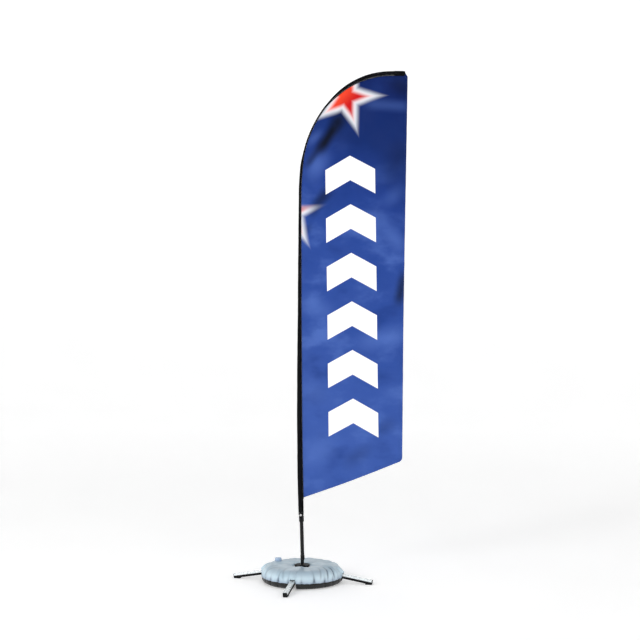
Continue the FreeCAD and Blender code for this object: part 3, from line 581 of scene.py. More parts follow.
def build_panel(material, thread):
    start = hoist_start()
    rows, columns = 330, 90
    hoist_x0, hoist_z0 = border(0, start)[:2]
    tip_x, tip_z = border(1, start)[:2]
    points, uvs, flat = [], [], []
    for i in range(rows):
        up = i / (rows - 1)
        for j in range(columns):
            out = j / (columns - 1)
            hx, hz, _ = border(up, start)
            fx, fz = fly_point(up)
            bx, bz = foot_point(out, start)
            tx, tz = top_point(out, start)
            x = (1 - out) * hx + out * fx + (1 - up) * bx + up * tx
            z = (1 - out) * hz + out * fz + (1 - up) * bz + up * tz
            x -= ((1 - up) * (1 - out) * hoist_x0 + (1 - up) * out * FLY_BOTTOM[0]
                  + up * (1 - out) * tip_x + up * out * FLY_TOP[0])
            z -= ((1 - up) * (1 - out) * hoist_z0 + (1 - up) * out * FLY_BOTTOM[1]
                  + up * (1 - out) * tip_z + up * out * FLY_TOP[1])
            flat.append((x, z))
    # Round the fly's lower corner: draw its points in towards the arc.
    corner = Vector(FLY_BOTTOM)
    up_edge = (Vector(FLY_TOP) - corner).normalized()
    along_foot = (Vector((hoist_x0, hoist_z0)) - corner).normalized()
    half = up_edge.angle(along_foot) / 2
    centre = corner + (up_edge + along_foot).normalized() * (FLY_CORNER / math.sin(half))
    toward = (corner - centre).normalized()
    kept = 0.4  # the share of the radius inside which the points stay
    for k, spot in enumerate(flat):
        offset = Vector(spot) - centre
        if offset.length > 1e-6 and offset.normalized().dot(toward) > math.cos(math.pi / 2 - half):
            way = offset.normalized()
            edge = offset.length
            if edge >= FLY_CORNER * kept:
                sharp = corner_reach(way, centre, corner, up_edge, along_foot) / FLY_CORNER
                edge = FLY_CORNER * kept + (edge - FLY_CORNER * kept) * (1 - kept) / (sharp - kept)
            x, z = centre + way * min(edge, FLY_CORNER)
            flat[k] = (x, z)
    for i in range(rows):
        up = i / (rows - 1)
        for j in range(columns):
            out = j / (columns - 1)
            x, z = flat[i * columns + j]
            hx, hz, _ = border(up, start)
            from_hoist = math.hypot(x - hx, z - hz)
            top_share = smooth(up, 0.93, 1.0)
            y = fold_depth(x, z, from_hoist, top_share)
            edge = min((1 - out) * 620, up * 400)
            y += 1.4 * (1 - smooth(edge, 0, 26)) * math.sin((x + z) / 17)
            points.append(Vector((x, y, z)) * MM)
            uvs.append((x * MM, z * MM))
    panel = make_object("flag_cloth", points, grid_faces(rows, columns), material, "pole")
    set_uv(panel, uvs)
    solidify(panel, 0.0005)
    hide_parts("flag_panel")

    def inward(edge, inner, inset):
        """A point drawn in from the cloth's edge towards a point inside it, both as (row, column)."""
        a = points[edge[0] * columns + edge[1]]
        b = points[inner[0] * columns + inner[1]]
        return a + (b - a).normalized() * (inset * MM)

    def edge_rows(inset):
        """Lines of points inset from the fly edge, the foot and the top edge, in mm."""
        fly = [inward((i, columns - 1), (i, columns - 3), inset) for i in range(rows)]
        foot = [inward((0, j), (3, j), inset) for j in range(columns)]
        top = [inward((rows - 1, j), (rows - 4, j), inset) for j in range(columns)]
        return fly, foot, top

    # Hems: the cloth turned back along the fly edge, the foot and the top, with a row of stitches.
    hem_verts, hem_faces, hem_uvs = [], [], []
    steps = 6
    for side in (-1, 1):
        for index, (inner_at, outer_at) in enumerate(zip(edge_rows(18), edge_rows(0.3))):
            if index:
                inner_at = inner_at[HEM_START:]
                outer_at = outer_at[HEM_START:]
            first = len(hem_verts)
            count = len(outer_at)
            for k in range(steps):
                share = k / (steps - 1)
                lift = (0.35 + 0.75 * math.sin(math.pi * share) ** 0.5) * MM
                for a, b in zip(outer_at, inner_at):
                    place = a + (b - a) * share
                    hem_verts.append(place + Vector((0, side * lift, 0)))
                    hem_uvs.append((place.x, place.z))
            hem_faces += grid_faces(steps, count, start=first)
    hem = make_object("flag_hem", hem_verts, hem_faces, material, "pole")
    set_uv(hem, hem_uvs)
    solidify(hem, 0.0003)
    stitch_rows = []
    for side in (-1, 1):
        for inset in (14.5, 4.0):
            for index, line in enumerate(edge_rows(inset)):
                if index:
                    line = line[HEM_START:]
                line = [point + Vector((0, side * 1.05 * MM, 0)) for point in line]
                stitch_rows.append((line, facing(side), 0.0034, 0.0012, 0.0003))
    return panel, hem, sew("hem_stitches", stitch_rows, thread)


def corner_reach(way, centre, corner, up_edge, along_foot):
    """How far the sharp corner's outline is from the rounding's centre, that way."""
    best = 1e9
    for edge in (up_edge, along_foot):
        normal = Vector((-edge.y, edge.x))
        away = (corner - centre).dot(normal)
        facing = way.dot(normal)
        if abs(facing) > 1e-6 and away / facing > 0:
            best = min(best, away / facing)
    return best


def build_sleeve(material, thread):
    """The black sleeve: a tube round the pole that closes to two layers at the seam with the flag."""
    start, end = SLEEVE[0][0], SLEEVE[-1][0]
    rows, columns = 640, 56
    verts, uvs = [], []
    for i in range(rows):
        along = start + (end - start) * i / (rows - 1)
        outer, width, thick = sleeve_at(along)
        x, z, heading = pole_at(along)
        middle = width / 2 - outer
        bend = smooth(along, 2380, 2620) * (1 - smooth(along, 3350, 3640))
        for j in range(columns):
            turn = 2 * math.pi * j / columns
            c, s = math.cos(turn), math.sin(turn)
            # A teardrop: round on the pole's side and drawn in flat on the flag's side.
            flatten = 1 - 0.55 * smooth(c, 0.1, 0.98)
            toward = middle + c * (width / 2 - 0.6)
            across = s * (thick / 2 - 0.6) * flatten
            crease = noise.noise(Vector((along / 46, 4 * s + 20, 2.5 * c)))
            long_wave = noise.noise(Vector((along / 210, 3 * s, 3 * c + 7)))
            pucker = math.sin(along / 5.5 + 3 * s) * 0.35 * smooth(c, 0.2, 0.9)
            gather = math.sin(along / 13.0 + 1.7 * math.sin(along / 41.0)) * 0.7 * bend * smooth(c, -0.4, 0.8)
            hem_roll = 0.5 * math.exp(-((along - start - 26) / 2.5) ** 2)
            amount = min(1.0, thick / 20)
            shift = 0.9 * crease * amount + 0.9 * long_wave * amount + pucker * 0.6 + gather * 0.7 + hem_roll
            shift = held_between(shift, -1.6, 1.1)
            toward += c * shift * 0.8
            across += s * shift
            verts.append(beside_pole(along, toward, across))
            uvs.append((turn / (2 * math.pi) * math.pi * width * MM, along * MM))
    sleeve = make_object("sleeve_cloth", verts, grid_faces(rows, columns, wrap=True), material, "pole")
    set_uv(sleeve, uvs)
    solidify(sleeve, 0.0008, -1.0)
    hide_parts("pole_sleeve")

    # Seam with the flag: a flat strip over the cloth on both faces, with two rows of stitches.
    first = hoist_start() - 4
    strip_verts, strip_faces, strip_uvs = [], [], []
    stitch_rows = []
    count = 420

    def seam_lift(share, thick):
        """How far the strip stands off the cloth's middle, from its outer edge (0) to its inner edge."""
        return 1.1 + (1 - share) ** 1.5 * min(thick / 2 * 0.42, 5.5)

    for side in (-1, 1):
        base = len(strip_verts)
        lines = {-4.5: [], -0.8: []}
        for i in range(count):
            along = first + (end - 6 - first) * i / (count - 1)
            outer, width, thick = sleeve_at(along)
            inner = width - outer
            for step in range(6):
                share = step / 5
                lift = seam_lift(share, thick)
                ripple = 0.3 * math.sin(along / 6.0 + step)
                across = side * (lift + ripple * share)
                strip_verts.append(beside_pole(along, inner - 10 + 11.5 * share, across))
                strip_uvs.append((share * 0.014, along * MM))
            for row in lines:
                lift = seam_lift((row + 10) / 11.5, thick)
                lines[row].append(beside_pole(along, inner + row, side * (lift + 0.5)))
        strip_faces += grid_faces(count, 6, start=base)
        stitch_rows += [(line, facing(side), 0.0036, 0.0012, 0.00032) for line in lines.values()]
    strip = make_object("sleeve_seam", strip_verts, strip_faces, material, "pole")
    set_uv(strip, strip_uvs)
    solidify(strip, 0.0006)
    # Two rows of stitches round the sleeve's open foot.
    for hem in (24.0, 20.0):
        outer, width, thick = sleeve_at(start + hem)
        line = []
        for j in range(220):
            turn = 2 * math.pi * j / 219
            flatten = 1 - 0.55 * smooth(math.cos(turn), 0.1, 0.98)
            toward = width / 2 - outer + math.cos(turn) * (width / 2 + 0.1)
            line.append(beside_pole(start + hem, toward, math.sin(turn) * (thick / 2 + 0.1) * flatten))
        middle = beside_pole(start + hem, width / 2 - sleeve_at(start)[0])

        def outward(point, middle=middle):
            way = point - middle
            return Vector((way.x, way.y, 0)).normalized()
        stitch_rows.append((line, outward, 0.0034, 0.0012, 0.0003))
    return sleeve, strip, sew("sleeve_stitches", stitch_rows, thread)


def build_tip_pocket(material, thread):
    """Webbing folded over the sleeve's closed end: a rounded, flattened cap."""
    end = SLEEVE[-1][0]
    outer, width, thick = SLEEVE[-1][1:]
    length = 70.0
    rows, columns = 40, 40
    verts, uvs = [], []
    for i in range(rows):
        share = i / (rows - 1)
        close = smooth(share, 0.86, 1.0)
        along = end - length + (length + 1.4) * min(share, 0.999)
        for j in range(columns):
            turn = 2 * math.pi * j / columns
            c, s = math.cos(turn), math.sin(turn)
            boxy = (abs(c) ** 3 + abs(s) ** 3) ** (-1 / 3)
            ripple = 0.25 * math.sin(along / 3.2)
            toward = width / 2 - outer + c * boxy * (width / 2 + 0.7 + ripple) * (1 - 0.22 * close)
            across = s * boxy * (thick / 2 + 0.8 + ripple) * (1 - 0.45 * close)
            verts.append(beside_pole(along - 1.5 * close * abs(c), toward, across))
            uvs.append((turn * 0.012, along * MM))
    faces = grid_faces(rows, columns, wrap=True)
    faces.append(tuple(range((rows - 1) * columns, rows * columns)))
    pocket = make_object("tip_pocket_cloth", verts, faces, material, "pole")
    set_uv(pocket, uvs)
    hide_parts("tip_pocket")
    solidify(pocket, 0.0009, -1.0)
    stitch_rows = []
    for side in (-1, 1):
        for along in (end - length + 4, end - length + 9, end - 14):
            line = [beside_pole(along, width / 2 - outer + t * (width / 2 - 3), side * (thick / 2 + 1.0))
                    for t in (-1, -0.5, 0, 0.5, 1)]
            stitch_rows.append((line, facing(side), 0.003, 0.001, 0.00035))
    return pocket, sew("pocket_stitches", stitch_rows, thread)


# ---- strap ---------------------------------------------------------------------------------------
STRAP_FRONT = 18.1
STRAP_T = 1.4
STUD_AT = 270.0
STRAP_REACH = 80.0
EYELET_AT = 297.0


def build_strap(material, thread):
    """Webbing from the sleeve's front down to the collar's stud, sewn on with a boxed cross."""
    cell = 0.5
    half = 8.0
    columns = int(2 * half / cell) + 1
    bottom = -half + 0.02
    rows = int((STRAP_REACH - bottom) / cell) + 1
    holes = ((0.0, 3.2), (EYELET_AT - STUD_AT, 4.05))
    spots = []
    for i in range(rows):
        s = bottom + (STRAP_REACH - bottom) * i / (rows - 1)
        width = math.sqrt(max(half * half - s * s, 0.2)) if s < 0 else half
        for j in range(columns):
            spots.append([(2 * j / (columns - 1) - 1) * width, s])
    inside = []
    for spot in spots:
        hit = False
        for centre, radius in holes:
            away = math.hypot(spot[0], spot[1] - centre)
            if away < radius:
                if away < radius - 0.75 * cell:
                    hit = True
                else:
                    spot[0] *= radius / away
                    spot[1] = centre + (spot[1] - centre) * radius / away
        inside.append(hit)
    faces = [face for face in grid_faces(rows, columns) if not any(inside[k] for k in face)]
    verts, uvs = [], []
    for x, s in spots:
        rib = 0.12 * math.cos(2 * math.pi * x / 2.0)
        bow = -0.5 * math.sin(math.pi * smooth(s, 4, 24)) * (1 if s < 24 else 0)
        edge = 0.35 * smooth(abs(x), 6.6, 8.0)
        verts.append(beside_pole(STUD_AT + s, x, -(STRAP_FRONT + rib + bow - edge)))
        uvs.append((x * MM, s * MM))
    used = sorted({k for face in faces for k in face})
    index = {k: n for n, k in enumerate(used)}
    strap = make_object("strap_webbing", [verts[k] for k in used],
                        [tuple(index[k] for k in face) for face in faces], material, "pole")
    set_uv(strap, [uvs[k] for k in used])
    face_outward(strap)
    if strap.data.polygons[len(strap.data.polygons) // 2].normal.y > 0:
        strap.data.flip_normals()
    solidify(strap, STRAP_T * MM, -1.0)
    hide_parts("tension_strap")
    low, high, side = 36.0, 76.0, 6.2
    corners = [(-side, low), (side, low), (side, high), (-side, high), (-side, low), (side, high)]
    lines = [(a, b) for a, b in zip(corners, corners[1:])] + [((side, low), (-side, high))]
    stitch_rows = []
    for (x0, s0), (x1, s1) in lines:
        line = [beside_pole(STUD_AT + s0 + (s1 - s0) * t / 8, x0 + (x1 - x0) * t / 8, -(STRAP_FRONT + 0.12))
                for t in range(9)]
        stitch_rows.append((line, facing(-1), 0.003, 0.001, 0.00035))
    return strap, sew("strap_stitches", stitch_rows, thread)


# ---- water ring ----------------------------------------------------------------------------------
RING_OUTER = 271.0
RING_HOLE = 59.0
RING_LOW = 2.0
RING_TOP = 112.0
LEG_PIVOT = (34.0, 96.0)
LEG_SLOPE = math.radians(9.525)
LEG_TOP = 7.0
LEG_HALF = 14.5
SKIN_GAP = 1.0  # between a leg and the skin that rests on it
NECK = (203.0, math.radians(157))
CREASES = 23  # round the weld
QUARTER_COLUMNS = 200
SECTION_POINTS = 112
SEAM_Z = 28.0  # where the pale top skin is welded to the underside, which is painted near black as shade


def ring_profile(count):
    """Points (radius, height) round the ring's section, from the weld over the top and back below."""
    corners = ((RING_OUTER, RING_TOP, 68.0), (RING_HOLE, RING_TOP, 20.0),
               (RING_HOLE, RING_LOW, 28.0), (RING_OUTER, RING_LOW, 25.0))
    outline = []
    turns = ((0, 90), (90, 180), (180, 270), (270, 360))
    for (r, z, rounding), (first, last) in zip(corners, turns):
        centre = Vector((r - rounding if r > 100 else r + rounding, z - rounding if z > 50 else z + rounding))
        for step in range(25):
            angle = math.radians(first + (last - first) * step / 24)
            outline.append(centre + Vector((math.cos(angle), math.sin(angle))) * rounding)
    below = [spot for spot in outline if spot.x > 200 and spot.y < SEAM_Z]
    rest = [spot for spot in outline if not (spot.x > 200 and spot.y < SEAM_Z)]
    # The points from the weld up to the side come last in the list of corners, so they move to its start.
    side = [spot for spot in rest if spot.x > 200 and spot.y < 50]
    rest = [spot for spot in rest if not (spot.x > 200 and spot.y < 50)]
    outline = side + rest + below
    outline.append(outline[0].copy())
    lengths = [0.0]
    for a, b in zip(outline, outline[1:]):
        lengths.append(lengths[-1] + (b - a).length)
    points = []
    k = 0
    for i in range(count):
        target = lengths[-1] * i / count
        while lengths[k + 1] < target:
            k += 1
        span = lengths[k + 1] - lengths[k]
        share = 0.0 if span < 1e-9 else (target - lengths[k]) / span
        points.append(outline[k].lerp(outline[k + 1], share))
    return points


def leg_roof(r):
    """The height the ring's underside has to clear over a leg, at a distance from the axis."""
    return LEG_PIVOT[1] - (r - LEG_PIVOT[0]) * math.tan(LEG_SLOPE) + LEG_TOP / math.cos(LEG_SLOPE) + SKIN_GAP


def ring_columns():
    """Angles round the ring, closer together beside each leg."""
    angles = []
    for quarter in range(4):
        middle = quarter * math.pi / 2
        for step in range(QUARTER_COLUMNS):
            share = 2 * step / QUARTER_COLUMNS - 1
            angles.append(middle + math.pi / 4 * (0.4 * share + 0.6 * share ** 3))
    return angles


def bent_round(angle, centre):
    """The signed difference between two angles."""
    return (angle - centre + math.pi) % (2 * math.pi) - math.pi


def ring_point(angle, r, z, run, length):
    """The ring's surface and how much painted shade lies on it in its creases and fold valleys, from 0 to 1.

    The section is raised over the legs, creased at its weld and folded on its shoulder. run is the distance
    round the section from the weld, over the top, and back below.
    """
    quarter = round(angle / (math.pi / 2)) * math.pi / 2
    off = r * math.sin(angle - quarter)
    ahead = r * math.cos(angle - quarter)
    over_leg = 1 - smooth(abs(off), LEG_HALF + 0.8, LEG_HALF + 7.5)
    inner = 1 - smooth(r, 70, 200)
    top = smooth(z, 60, 108)
    underside = run > length * 0.5
    hump = 2.5 * math.exp(-(off / 32.0) ** 2) * top * (1 - inner)
    sink = -6.0 * (1 - smooth(r, 62, 120)) * top * (1 - math.exp(-(off / 34.0) ** 2))
    roof = leg_roof(ahead)
    if over_leg > 0:
        if underside:
            z += (max(roof, z) - z) * over_leg
        else:
            share = held_between((z - SEAM_Z) / (RING_TOP - SEAM_Z), 0, 1)
            raised = roof + 2.0 + (RING_TOP - roof - 2.0) * share
            z += (raised - z) * over_leg
    z += hump + sink
    # Over a leg the weld is drawn out along it in a point.
    r += 15.0 * math.exp(-(off / 15.0) ** 2) * math.exp(-min(run, length - run) / 26.0) * smooth(r, 200, 262)
    z += 2.2 * noise.noise(Vector((3 * math.cos(angle), 3 * math.sin(angle), r / 110))) * smooth(z, 30, 80)
    # Short sharp creases that rise from the weld, and the soft swelling between them.
    spot = angle * CREASES / (2 * math.pi) + 0.22 * math.sin(3 * angle + 1)
    crease = abs(spot - round(spot)) * 2 * math.pi * RING_OUTER / CREASES
    number = round(spot) % CREASES
    tall = 30 + 12 * math.sin(number * 2.4)
    deep = (11.0 + 4.5 * math.sin(number * 1.7)) * math.exp(-crease / 5.5) * (1 - over_leg)
    if underside:
        r -= deep * math.exp(-(length - run) / 30)
    else:
        r -= deep * math.exp(-run / tall)
        z += 0.3 * deep * math.exp(-run / tall) * (1 - math.exp(-run / 8))
        r += 1.8 * (1 - math.exp(-crease / 30)) * math.exp(-run / 60) * (1 - math.exp(-run / 6))
    folds = 0.0
    for centre, drift, spread, height in RING_FOLDS:
        gap = bent_round(angle, centre + drift * (r - 200) / 90) * r
        folds += height * math.exp(-abs(gap / spread) ** 1.3)
    shoulder = smooth(r, 120, 215)
    # Painted shade: how dark the colour goes in the creases at the weld and in the valleys of the folds.
    painted_crease_shade = 0.0 if underside else held_between(deep * math.exp(-run / tall) / 9.0, 0.0, 1.0)
    painted_crease_shade = max(painted_crease_shade, held_between(-folds * shoulder * smooth(z, 40, 85) / 8.0, 0.0, 0.8) * (not underside))
    if not underside:
        z += folds * shoulder * smooth(z, 40, 85)
        r += 0.7 * folds * shoulder * (1 - smooth(z, 84, 112)) * smooth(z, 34, 60)
        by_hole = (1 - smooth(r, 62, 92)) * smooth(z, 60, 104)
        gathers = math.sin(26 * angle + 2 * math.sin(4 * angle)) * by_hole
        z += 0.9 * gathers
        crinkle = noise.noise(Vector((r * math.cos(angle) / 30, r * math.sin(angle) / 30, z / 30)))
        z += 0.8 * crinkle * smooth(z, 50, 100)
    return Vector((r * math.cos(angle), r * math.sin(angle), max(z, 1.0))), painted_crease_shade


# The ring's larger folds: (angle, turn across the ring, half width in mm, height in mm).
RING_FOLDS = tuple((math.radians(a), drift, spread, height) for a, drift, spread, height in (
    (-10, -0.20, 6.0, 7.0), (-16, -0.20, 5.0, -8.0), (-22, -0.22, 6.0, 8.0), (-28, -0.22, 5.0, -7.0),
    (-35, -0.20, 6.5, 5.0), (-42, -0.18, 6.0, -3.5), (-60, -0.10, 12.0, 2.5), (-112, 0.16, 9.0, -3.0),
    (-124, 0.16, 9.0, 3.0), (-150, 0.14, 8.0, -2.5), (28, 0.16, 9.0, 4.0), (38, 0.16, 7.0, -4.0),
    (52, -0.14, 9.0, 3.5), (116, 0.16, 8.0, 4.0), (128, 0.16, 7.0, -4.0), (168, -0.12, 9.0, 3.0),
    (205, 0.14, 9.0, 3.0), (222, -0.14, 8.0, -3.0),
))


def build_ring(material):
    count = SECTION_POINTS
    profile = ring_profile(count)
    length = sum((b - a).length for a, b in zip(profile, profile[1:] + profile[:1]))
    angles = ring_columns()
    verts, uvs, painted_crease_shades = [], [], []
    neck = Vector((NECK[0] * math.cos(NECK[1]), NECK[0] * math.sin(NECK[1]), 0))
    for angle in angles:
        for i, spot in enumerate(profile):
            run = length * i / count
            point, painted_crease_shade = ring_point(angle, spot.x, spot.y, run, length)
            painted_crease_shades.append(painted_crease_shade)
            away = (Vector((point.x, point.y, 0)) - neck).length
            if point.z > 90 and run < length / 2:
                point.z += (RING_TOP - 0.2 - point.z) * (1 - smooth(away, 24, 52))
            verts.append(point * MM)
            uvs.append((angle * 0.16, run * MM))
    columns = len(angles)
    faces = []
    for a in range(columns):
        b = (a + 1) % columns
        for i in range(count):
            k = (i + 1) % count
            faces.append((a * count + i, b * count + i, b * count + k, a * count + k))
    ring = make_object("water_ring_skin", verts, faces, material, "water_ring")
    set_uv(ring, uvs)
    # The painted shade of the creases and fold valleys, kept on the points for the material.
    crease_shade_layer = ring.data.attributes.new("painted_crease_shade", "FLOAT", "POINT")
    crease_shade_layer.data.foreach_set("value", painted_crease_shades)
    face_outward(ring)
    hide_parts("bag_skin", "ballast_water")

    # The welded flange round the outside, wavy, with its pressed line.
    flange_verts, flange_faces, flange_uvs = [], [], []
    steps = 6
    for n, angle in enumerate(angles):
        seam = verts[n * count] / MM
        seam_r = math.hypot(seam.x, seam.y)
        wave = 1.0 * math.sin(41 * angle + 3 * math.sin(5 * angle) + 1.0)
        for i in range(steps):
            share = i / (steps - 1)
            r = seam_r - 1.5 + 6.0 * share
            z = seam.z - 2.0 * share + wave * share * share * 1.2 + (0.3 if i in (2, 4) else 0.0)
            flange_verts.append(Vector((r * math.cos(angle), r * math.sin(angle), z)) * MM)
            flange_uvs.append((angle * 0.16, share * 0.007))
    for n in range(columns):
        b = (n + 1) % columns
        for i in range(steps - 1):
            flange_faces.append((n * steps + i, b * steps + i, b * steps + i + 1, n * steps + i + 1))
    flange = make_object("water_ring_weld", flange_verts, flange_faces, material, "water_ring")
    set_uv(flange, flange_uvs)
    solidify(flange, 0.0011)


def pvc_material():
    """Pale blue-grey film, with painted shade: darker on top and towards the bottom, in the creases and fold
    valleys, and near black on the underside below the weld.
    """
    nodes = Nodes("ring_pvc", 0.36, Coat_Weight=0.12, Coat_Roughness=0.25, Specular_IOR_Level=0.4)
    run = nodes.split(nodes.uv())[1]
    z = nodes.split(nodes.place())[2]
    cloud = nodes.noise(7, 4)
    base = nodes.ramp(cloud, (0.3, linear(184, 208, 221)), (0.7, linear(204, 224, 234)))
    # Painted shade: the top of the ring darker and greyer, in soft clouds.
    top_shade_cloud = nodes.step(nodes.noise(5, 3), 0.25, 0.6, 0.25, 0.6)
    painted_top_shade = nodes.times(nodes.step(z, 0.070, 0.115), top_shade_cloud)
    base = nodes.mix(painted_top_shade, base, linear(138, 158, 174))
    # Painted shade: the lower side of the ring darker and greyer towards the bottom.
    low_shade_cloud = nodes.step(nodes.noise(22, 4), 0.35, 0.7, 0.45, 0.8)
    painted_low_shade = nodes.times(nodes.step(z, 0.078, 0.026), low_shade_cloud)
    base = nodes.mix(painted_low_shade, base, linear(138, 148, 174))
    # Painted shade in the creases at the weld and in the fold valleys.
    painted_crease_shade = nodes.add("ShaderNodeAttribute", attribute_name="painted_crease_shade").outputs["Fac"]
    base = nodes.mix(nodes.times(painted_crease_shade, 0.85), base, linear(62, 72, 98))
    # Painted shade: the underside below the weld is near black.
    base = nodes.mix(nodes.step(run, 0.36, 0.362), base, (0.003, 0.003, 0.004, 1))
    nodes.colour(base)
    nodes.rough(nodes.step(nodes.noise(24, 4), 0.35, 0.7, 0.3, 0.46))
    nodes.bump(nodes.noise(60, 5), 0.0006, 0.3)
    nodes.bump(nodes.noise(900, 2), 0.00008, 0.4)
    return nodes.material


def cap_material():
    nodes = Nodes("cap_plastic", 0.42)
    scuff = nodes.noise(60, 4)
    nodes.colour(nodes.ramp(scuff, (0.4, linear(168, 192, 220)), (0.75, linear(196, 212, 230))))
    nodes.rough(nodes.step(scuff, 0.3, 0.7, 0.35, 0.5))
    nodes.bump(nodes.noise(1500, 2), 0.00006, 0.5)
    return nodes.material


def leg_material():
    """Bright plating, brushed along the leg, with a few dull handling marks."""
    nodes = Nodes("leg_plating", 0.35, 0.6)
    streak = nodes.noise(240, 4, stretch=(0.25, 0.25, 1.0))
    mark = nodes.noise(14, 5)
    base = nodes.ramp(streak, (0.3, (0.70, 0.76, 0.78, 1)), (0.7, (0.90, 0.94, 0.95, 1)))
    base = nodes.mix(nodes.step(mark, 0.6, 0.75, 0.0, 0.35), base, (0.50, 0.53, 0.55, 1))
    nodes.colour(base)
    nodes.rough(nodes.step(nodes.math("ADD", streak, mark), 0.7, 1.3, 0.2, 0.42))
    nodes.bump(streak, 0.00006, 0.5)
    return nodes.material


# ---- the CAD's nodes -----------------------------------------------------------------------------
thread = thread_material("dark_thread", (0.012, 0.012, 0.015, 1))
pale_thread = thread_material("pale_thread", (0.35, 0.36, 0.38, 1))
blue_thread = thread_material("blue_thread", (0.02, 0.045, 0.16, 1))
cloth = print_material()
sleeve_cloth = black_cloth("sleeve_cloth", 0.0011)
webbing = black_cloth("webbing", 0.0020)
SIDES = ("right", "back", "left", "front")
FINISHES = {
    "black_casting": (moulded("hub_paint", (0.002, 0.002, 0.0025, 1), (0.010, 0.010, 0.011, 1), 0.6), 0.8,
                      ["hub"]),
    "bearing_steel": (metal("bearing_steel", (0.75, 0.76, 0.78, 1), (0.5, 0.51, 0.53, 1), 0.18), 0.2,
                      ["lower_bearing_outer_race", "upper_bearing_outer_race", "lower_bearing_inner_race",
                       "upper_bearing_inner_race", "lower_bearing_balls", "upper_bearing_balls"]),
    "bearing_cage": (metal("bearing_brass", (0.75, 0.58, 0.3, 1), (0.5, 0.36, 0.16, 1), 0.3), 0.1,
                     ["lower_bearing_cage", "upper_bearing_cage"]),
    "dark_steel": (metal("dark_steel", (0.03, 0.031, 0.035, 1), (0.010, 0.011, 0.013, 1), 0.36), 0.4,
                   ["bearing_housing", "spindle", "spindle_circlip"]),
    "zinc_fasteners": (metal("zinc", (0.6, 0.6, 0.58, 1), (0.4, 0.4, 0.38, 1), 0.36), 0.25,
                       ["hinge_bolts", "hinge_nuts", "hinge_washers", "collar_screw"]),
    "spacer_alloy": (metal("spacer_alloy", (0.7, 0.71, 0.72, 1), (0.5, 0.5, 0.52, 1), 0.3), 0.2,
                     ["bearing_spacer"]),
    "black_plastic": (moulded("black_plastic", (0.004, 0.004, 0.005, 1), (0.018, 0.018, 0.02, 1), 0.45), 0.5,
                      ["dust_cap", "tension_collar", "lower_joint_cup", "middle_joint_cup",
                       "upper_joint_cup"]),
    "leg_steel": (leg_material(), 0.0, [side + "_leg_tube" for side in SIDES]),
    "leg_bushes": (moulded("bush_nylon", (0.62, 0.61, 0.56, 1), (0.4, 0.39, 0.36, 1), 0.5), 0.2,
                   [side + "_leg_bush" for side in SIDES]),
    # The runners' black is painted shade and dark reflection under and along each leg; the feet are black
    # rubber.
    "leg_rubber": (moulded("leg_rubber", (0.002, 0.002, 0.0022, 1), (0.012, 0.012, 0.013, 1), 0.75), 1.2,
                   [side + part for side in SIDES for part in ("_leg_runner", "_leg_foot")]),
    "black_pole": (satin_black("pole_finish", 0.38), 0.25,
                   ["pole_foot_ferrule", "pole_bottom_section", "pole_middle_section", "pole_upper_section",
                    "lower_pole_ferrule", "middle_pole_ferrule", "upper_pole_ferrule"]),
    "glass_fibre": (satin_black("rod_fibre", 0.3, (0.02, 0.02, 0.018, 1), (0.08, 0.08, 0.07, 1)), 0.0,
                    ["pole_tip_rod"]),
    "tip_rubber": (moulded("tip_rubber", (0.02, 0.02, 0.02, 1), (0.06, 0.06, 0.06, 1), 0.7), 0.3,
                   ["pole_tip_cap"]),
    "eyelet_metal": (metal("eyelet_plating", (0.85, 0.85, 0.86, 1), (0.6, 0.6, 0.62, 1), 0.16), 0.3,
                     ["strap_eyelet"]),
    "valve_plastic": (cap_material(), 0.35, ["filler_neck", "filler_cap"]),
    "seal_rubber": (moulded("seal_rubber", (0.03, 0.03, 0.03, 1), (0.07, 0.07, 0.07, 1), 0.7), 0.2,
                    ["cap_gasket"]),
}
for material, edge, names in FINISHES.values():
    for name in names:
        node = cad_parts[name]
        node.data.materials.clear()
        node.data.materials.append(material)
        if edge:
            bevel = node.modifiers.new("soft_edge", "BEVEL")
            bevel.width = edge * MM
            bevel.segments = 3
            bevel.limit_method = "ANGLE"
            bevel.angle_limit = math.radians(40)
            bevel.use_clamp_overlap = True
            bevel.harden_normals = True

# ---- build ---------------------------------------------------------------------------------------
panel, hem, hem_stitches = build_panel(cloth, blue_thread)
sleeve, seam_strip, sleeve_stitches = build_sleeve(sleeve_cloth, pale_thread)
pocket, pocket_stitches = build_tip_pocket(webbing, thread)
strap, strap_stitches = build_strap(webbing, thread)
build_ring(pvc_material())

# ---- stage ---------------------------------------------------------------------------------------
FLOOR_FLAT = 11.0
FLOOR_END = 17.0


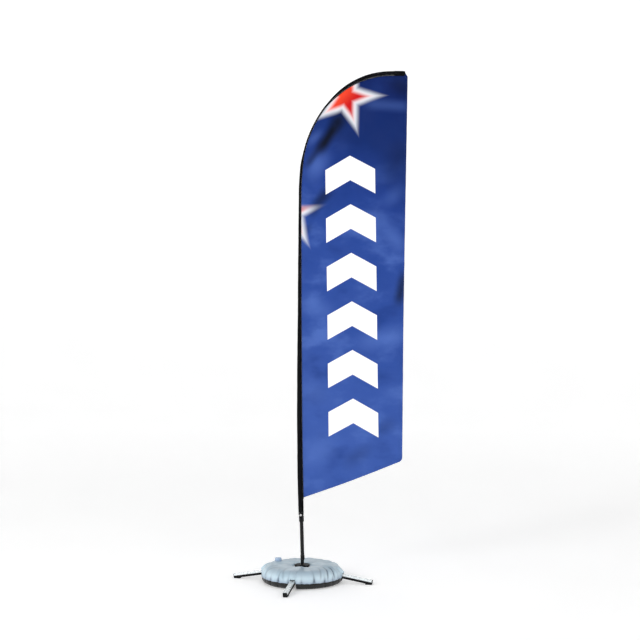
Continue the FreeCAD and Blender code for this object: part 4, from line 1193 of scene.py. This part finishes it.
def build_floor():
    """A pale floor that curves up far away on every side."""
    nodes = Nodes("floor_paint", 0.75, Specular_IOR_Level=0.2)
    cloud = nodes.noise(1.2, 2)
    nodes.colour(nodes.ramp(cloud, (0.3, (0.89, 0.89, 0.89, 1)), (0.7, (0.92, 0.92, 0.92, 1))))
    x, y, _ = nodes.split(nodes.place())
    far = nodes.hypotenuse(x, y)
    nodes.shader.inputs["Emission Color"].default_value = (1, 1, 1, 1)
    nodes.link(nodes.step(far, 1.0, 9.0, 0.30, 0.36), nodes.shader.inputs["Emission Strength"])
    profile = [(0.0, 0.0), (2.0, 0.0), (5.0, 0.0), (FLOOR_FLAT, 0.0)]
    for step in range(1, 13):
        angle = math.pi / 2 * step / 12
        profile.append((FLOOR_FLAT + (FLOOR_END - FLOOR_FLAT) * math.sin(angle),
                        (FLOOR_END - FLOOR_FLAT) * (1 - math.cos(angle))))
    profile.append((FLOOR_END, 14.0))
    columns = 96
    verts = [(r * math.cos(2 * math.pi * j / columns), r * math.sin(2 * math.pi * j / columns), z)
             for r, z in profile for j in range(columns)]
    mesh = bpy.data.meshes.new("floor")
    mesh.from_pydata(verts, [], grid_faces(len(profile), columns, wrap=True))
    mesh.polygons.foreach_set("use_smooth", [True] * len(mesh.polygons))
    mesh.materials.append(nodes.material)
    floor = bpy.data.objects.new("floor", mesh)
    bpy.context.scene.collection.objects.link(floor)
    return floor


def area_light(name, place, target, power, size):
    data = bpy.data.lights.new(name, "AREA")
    data.energy = power
    data.shape = "DISK"
    data.size = size
    light = bpy.data.objects.new(name, data)
    light.location = place
    light.rotation_euler = (Vector(target) - Vector(place)).to_track_quat("-Z", "Y").to_euler()
    bpy.context.scene.collection.objects.link(light)
    return light


scene = bpy.context.scene
world = bpy.data.worlds.new("studio")
scene.world = world
world.use_nodes = True
world.node_tree.nodes["Background"].inputs[0].default_value = (1.0, 1.0, 1.0, 1)
world.node_tree.nodes["Background"].inputs[1].default_value = 0.3
build_floor()
area_light("key", (-3.2, -6.6, 3.4), (0.1, 0, 1.2), 190, 2.2)
area_light("fill", (5.6, -4.4, 3.2), (0.2, 0, 1.4), 25, 3.6)
area_light("top", (0.6, 1.4, 7.2), (0.2, 0, 1.0), 40, 4.0)
scene.view_settings.view_transform = "Standard"

# ---- camera --------------------------------------------------------------------------------------
CAMERA_TURN = math.radians(12.5)
CAMERA_AT = (1.688 + 0.1186 * math.cos(CAMERA_TURN), -7.615 + 0.1186 * math.sin(CAMERA_TURN), 1.749)
camera_data = bpy.data.cameras.new("camera")
camera_data.lens = 65.485
camera_data.sensor_width = 36.0
camera_data.clip_end = 100.0
camera = bpy.data.objects.new("camera", camera_data)
camera.location = CAMERA_AT
look = Vector((-math.sin(CAMERA_TURN), math.cos(CAMERA_TURN), 0.0))
camera.rotation_euler = look.to_track_quat("-Z", "Y").to_euler()
scene.collection.objects.link(camera)
scene.camera = camera

bpy.context.view_layer.update()
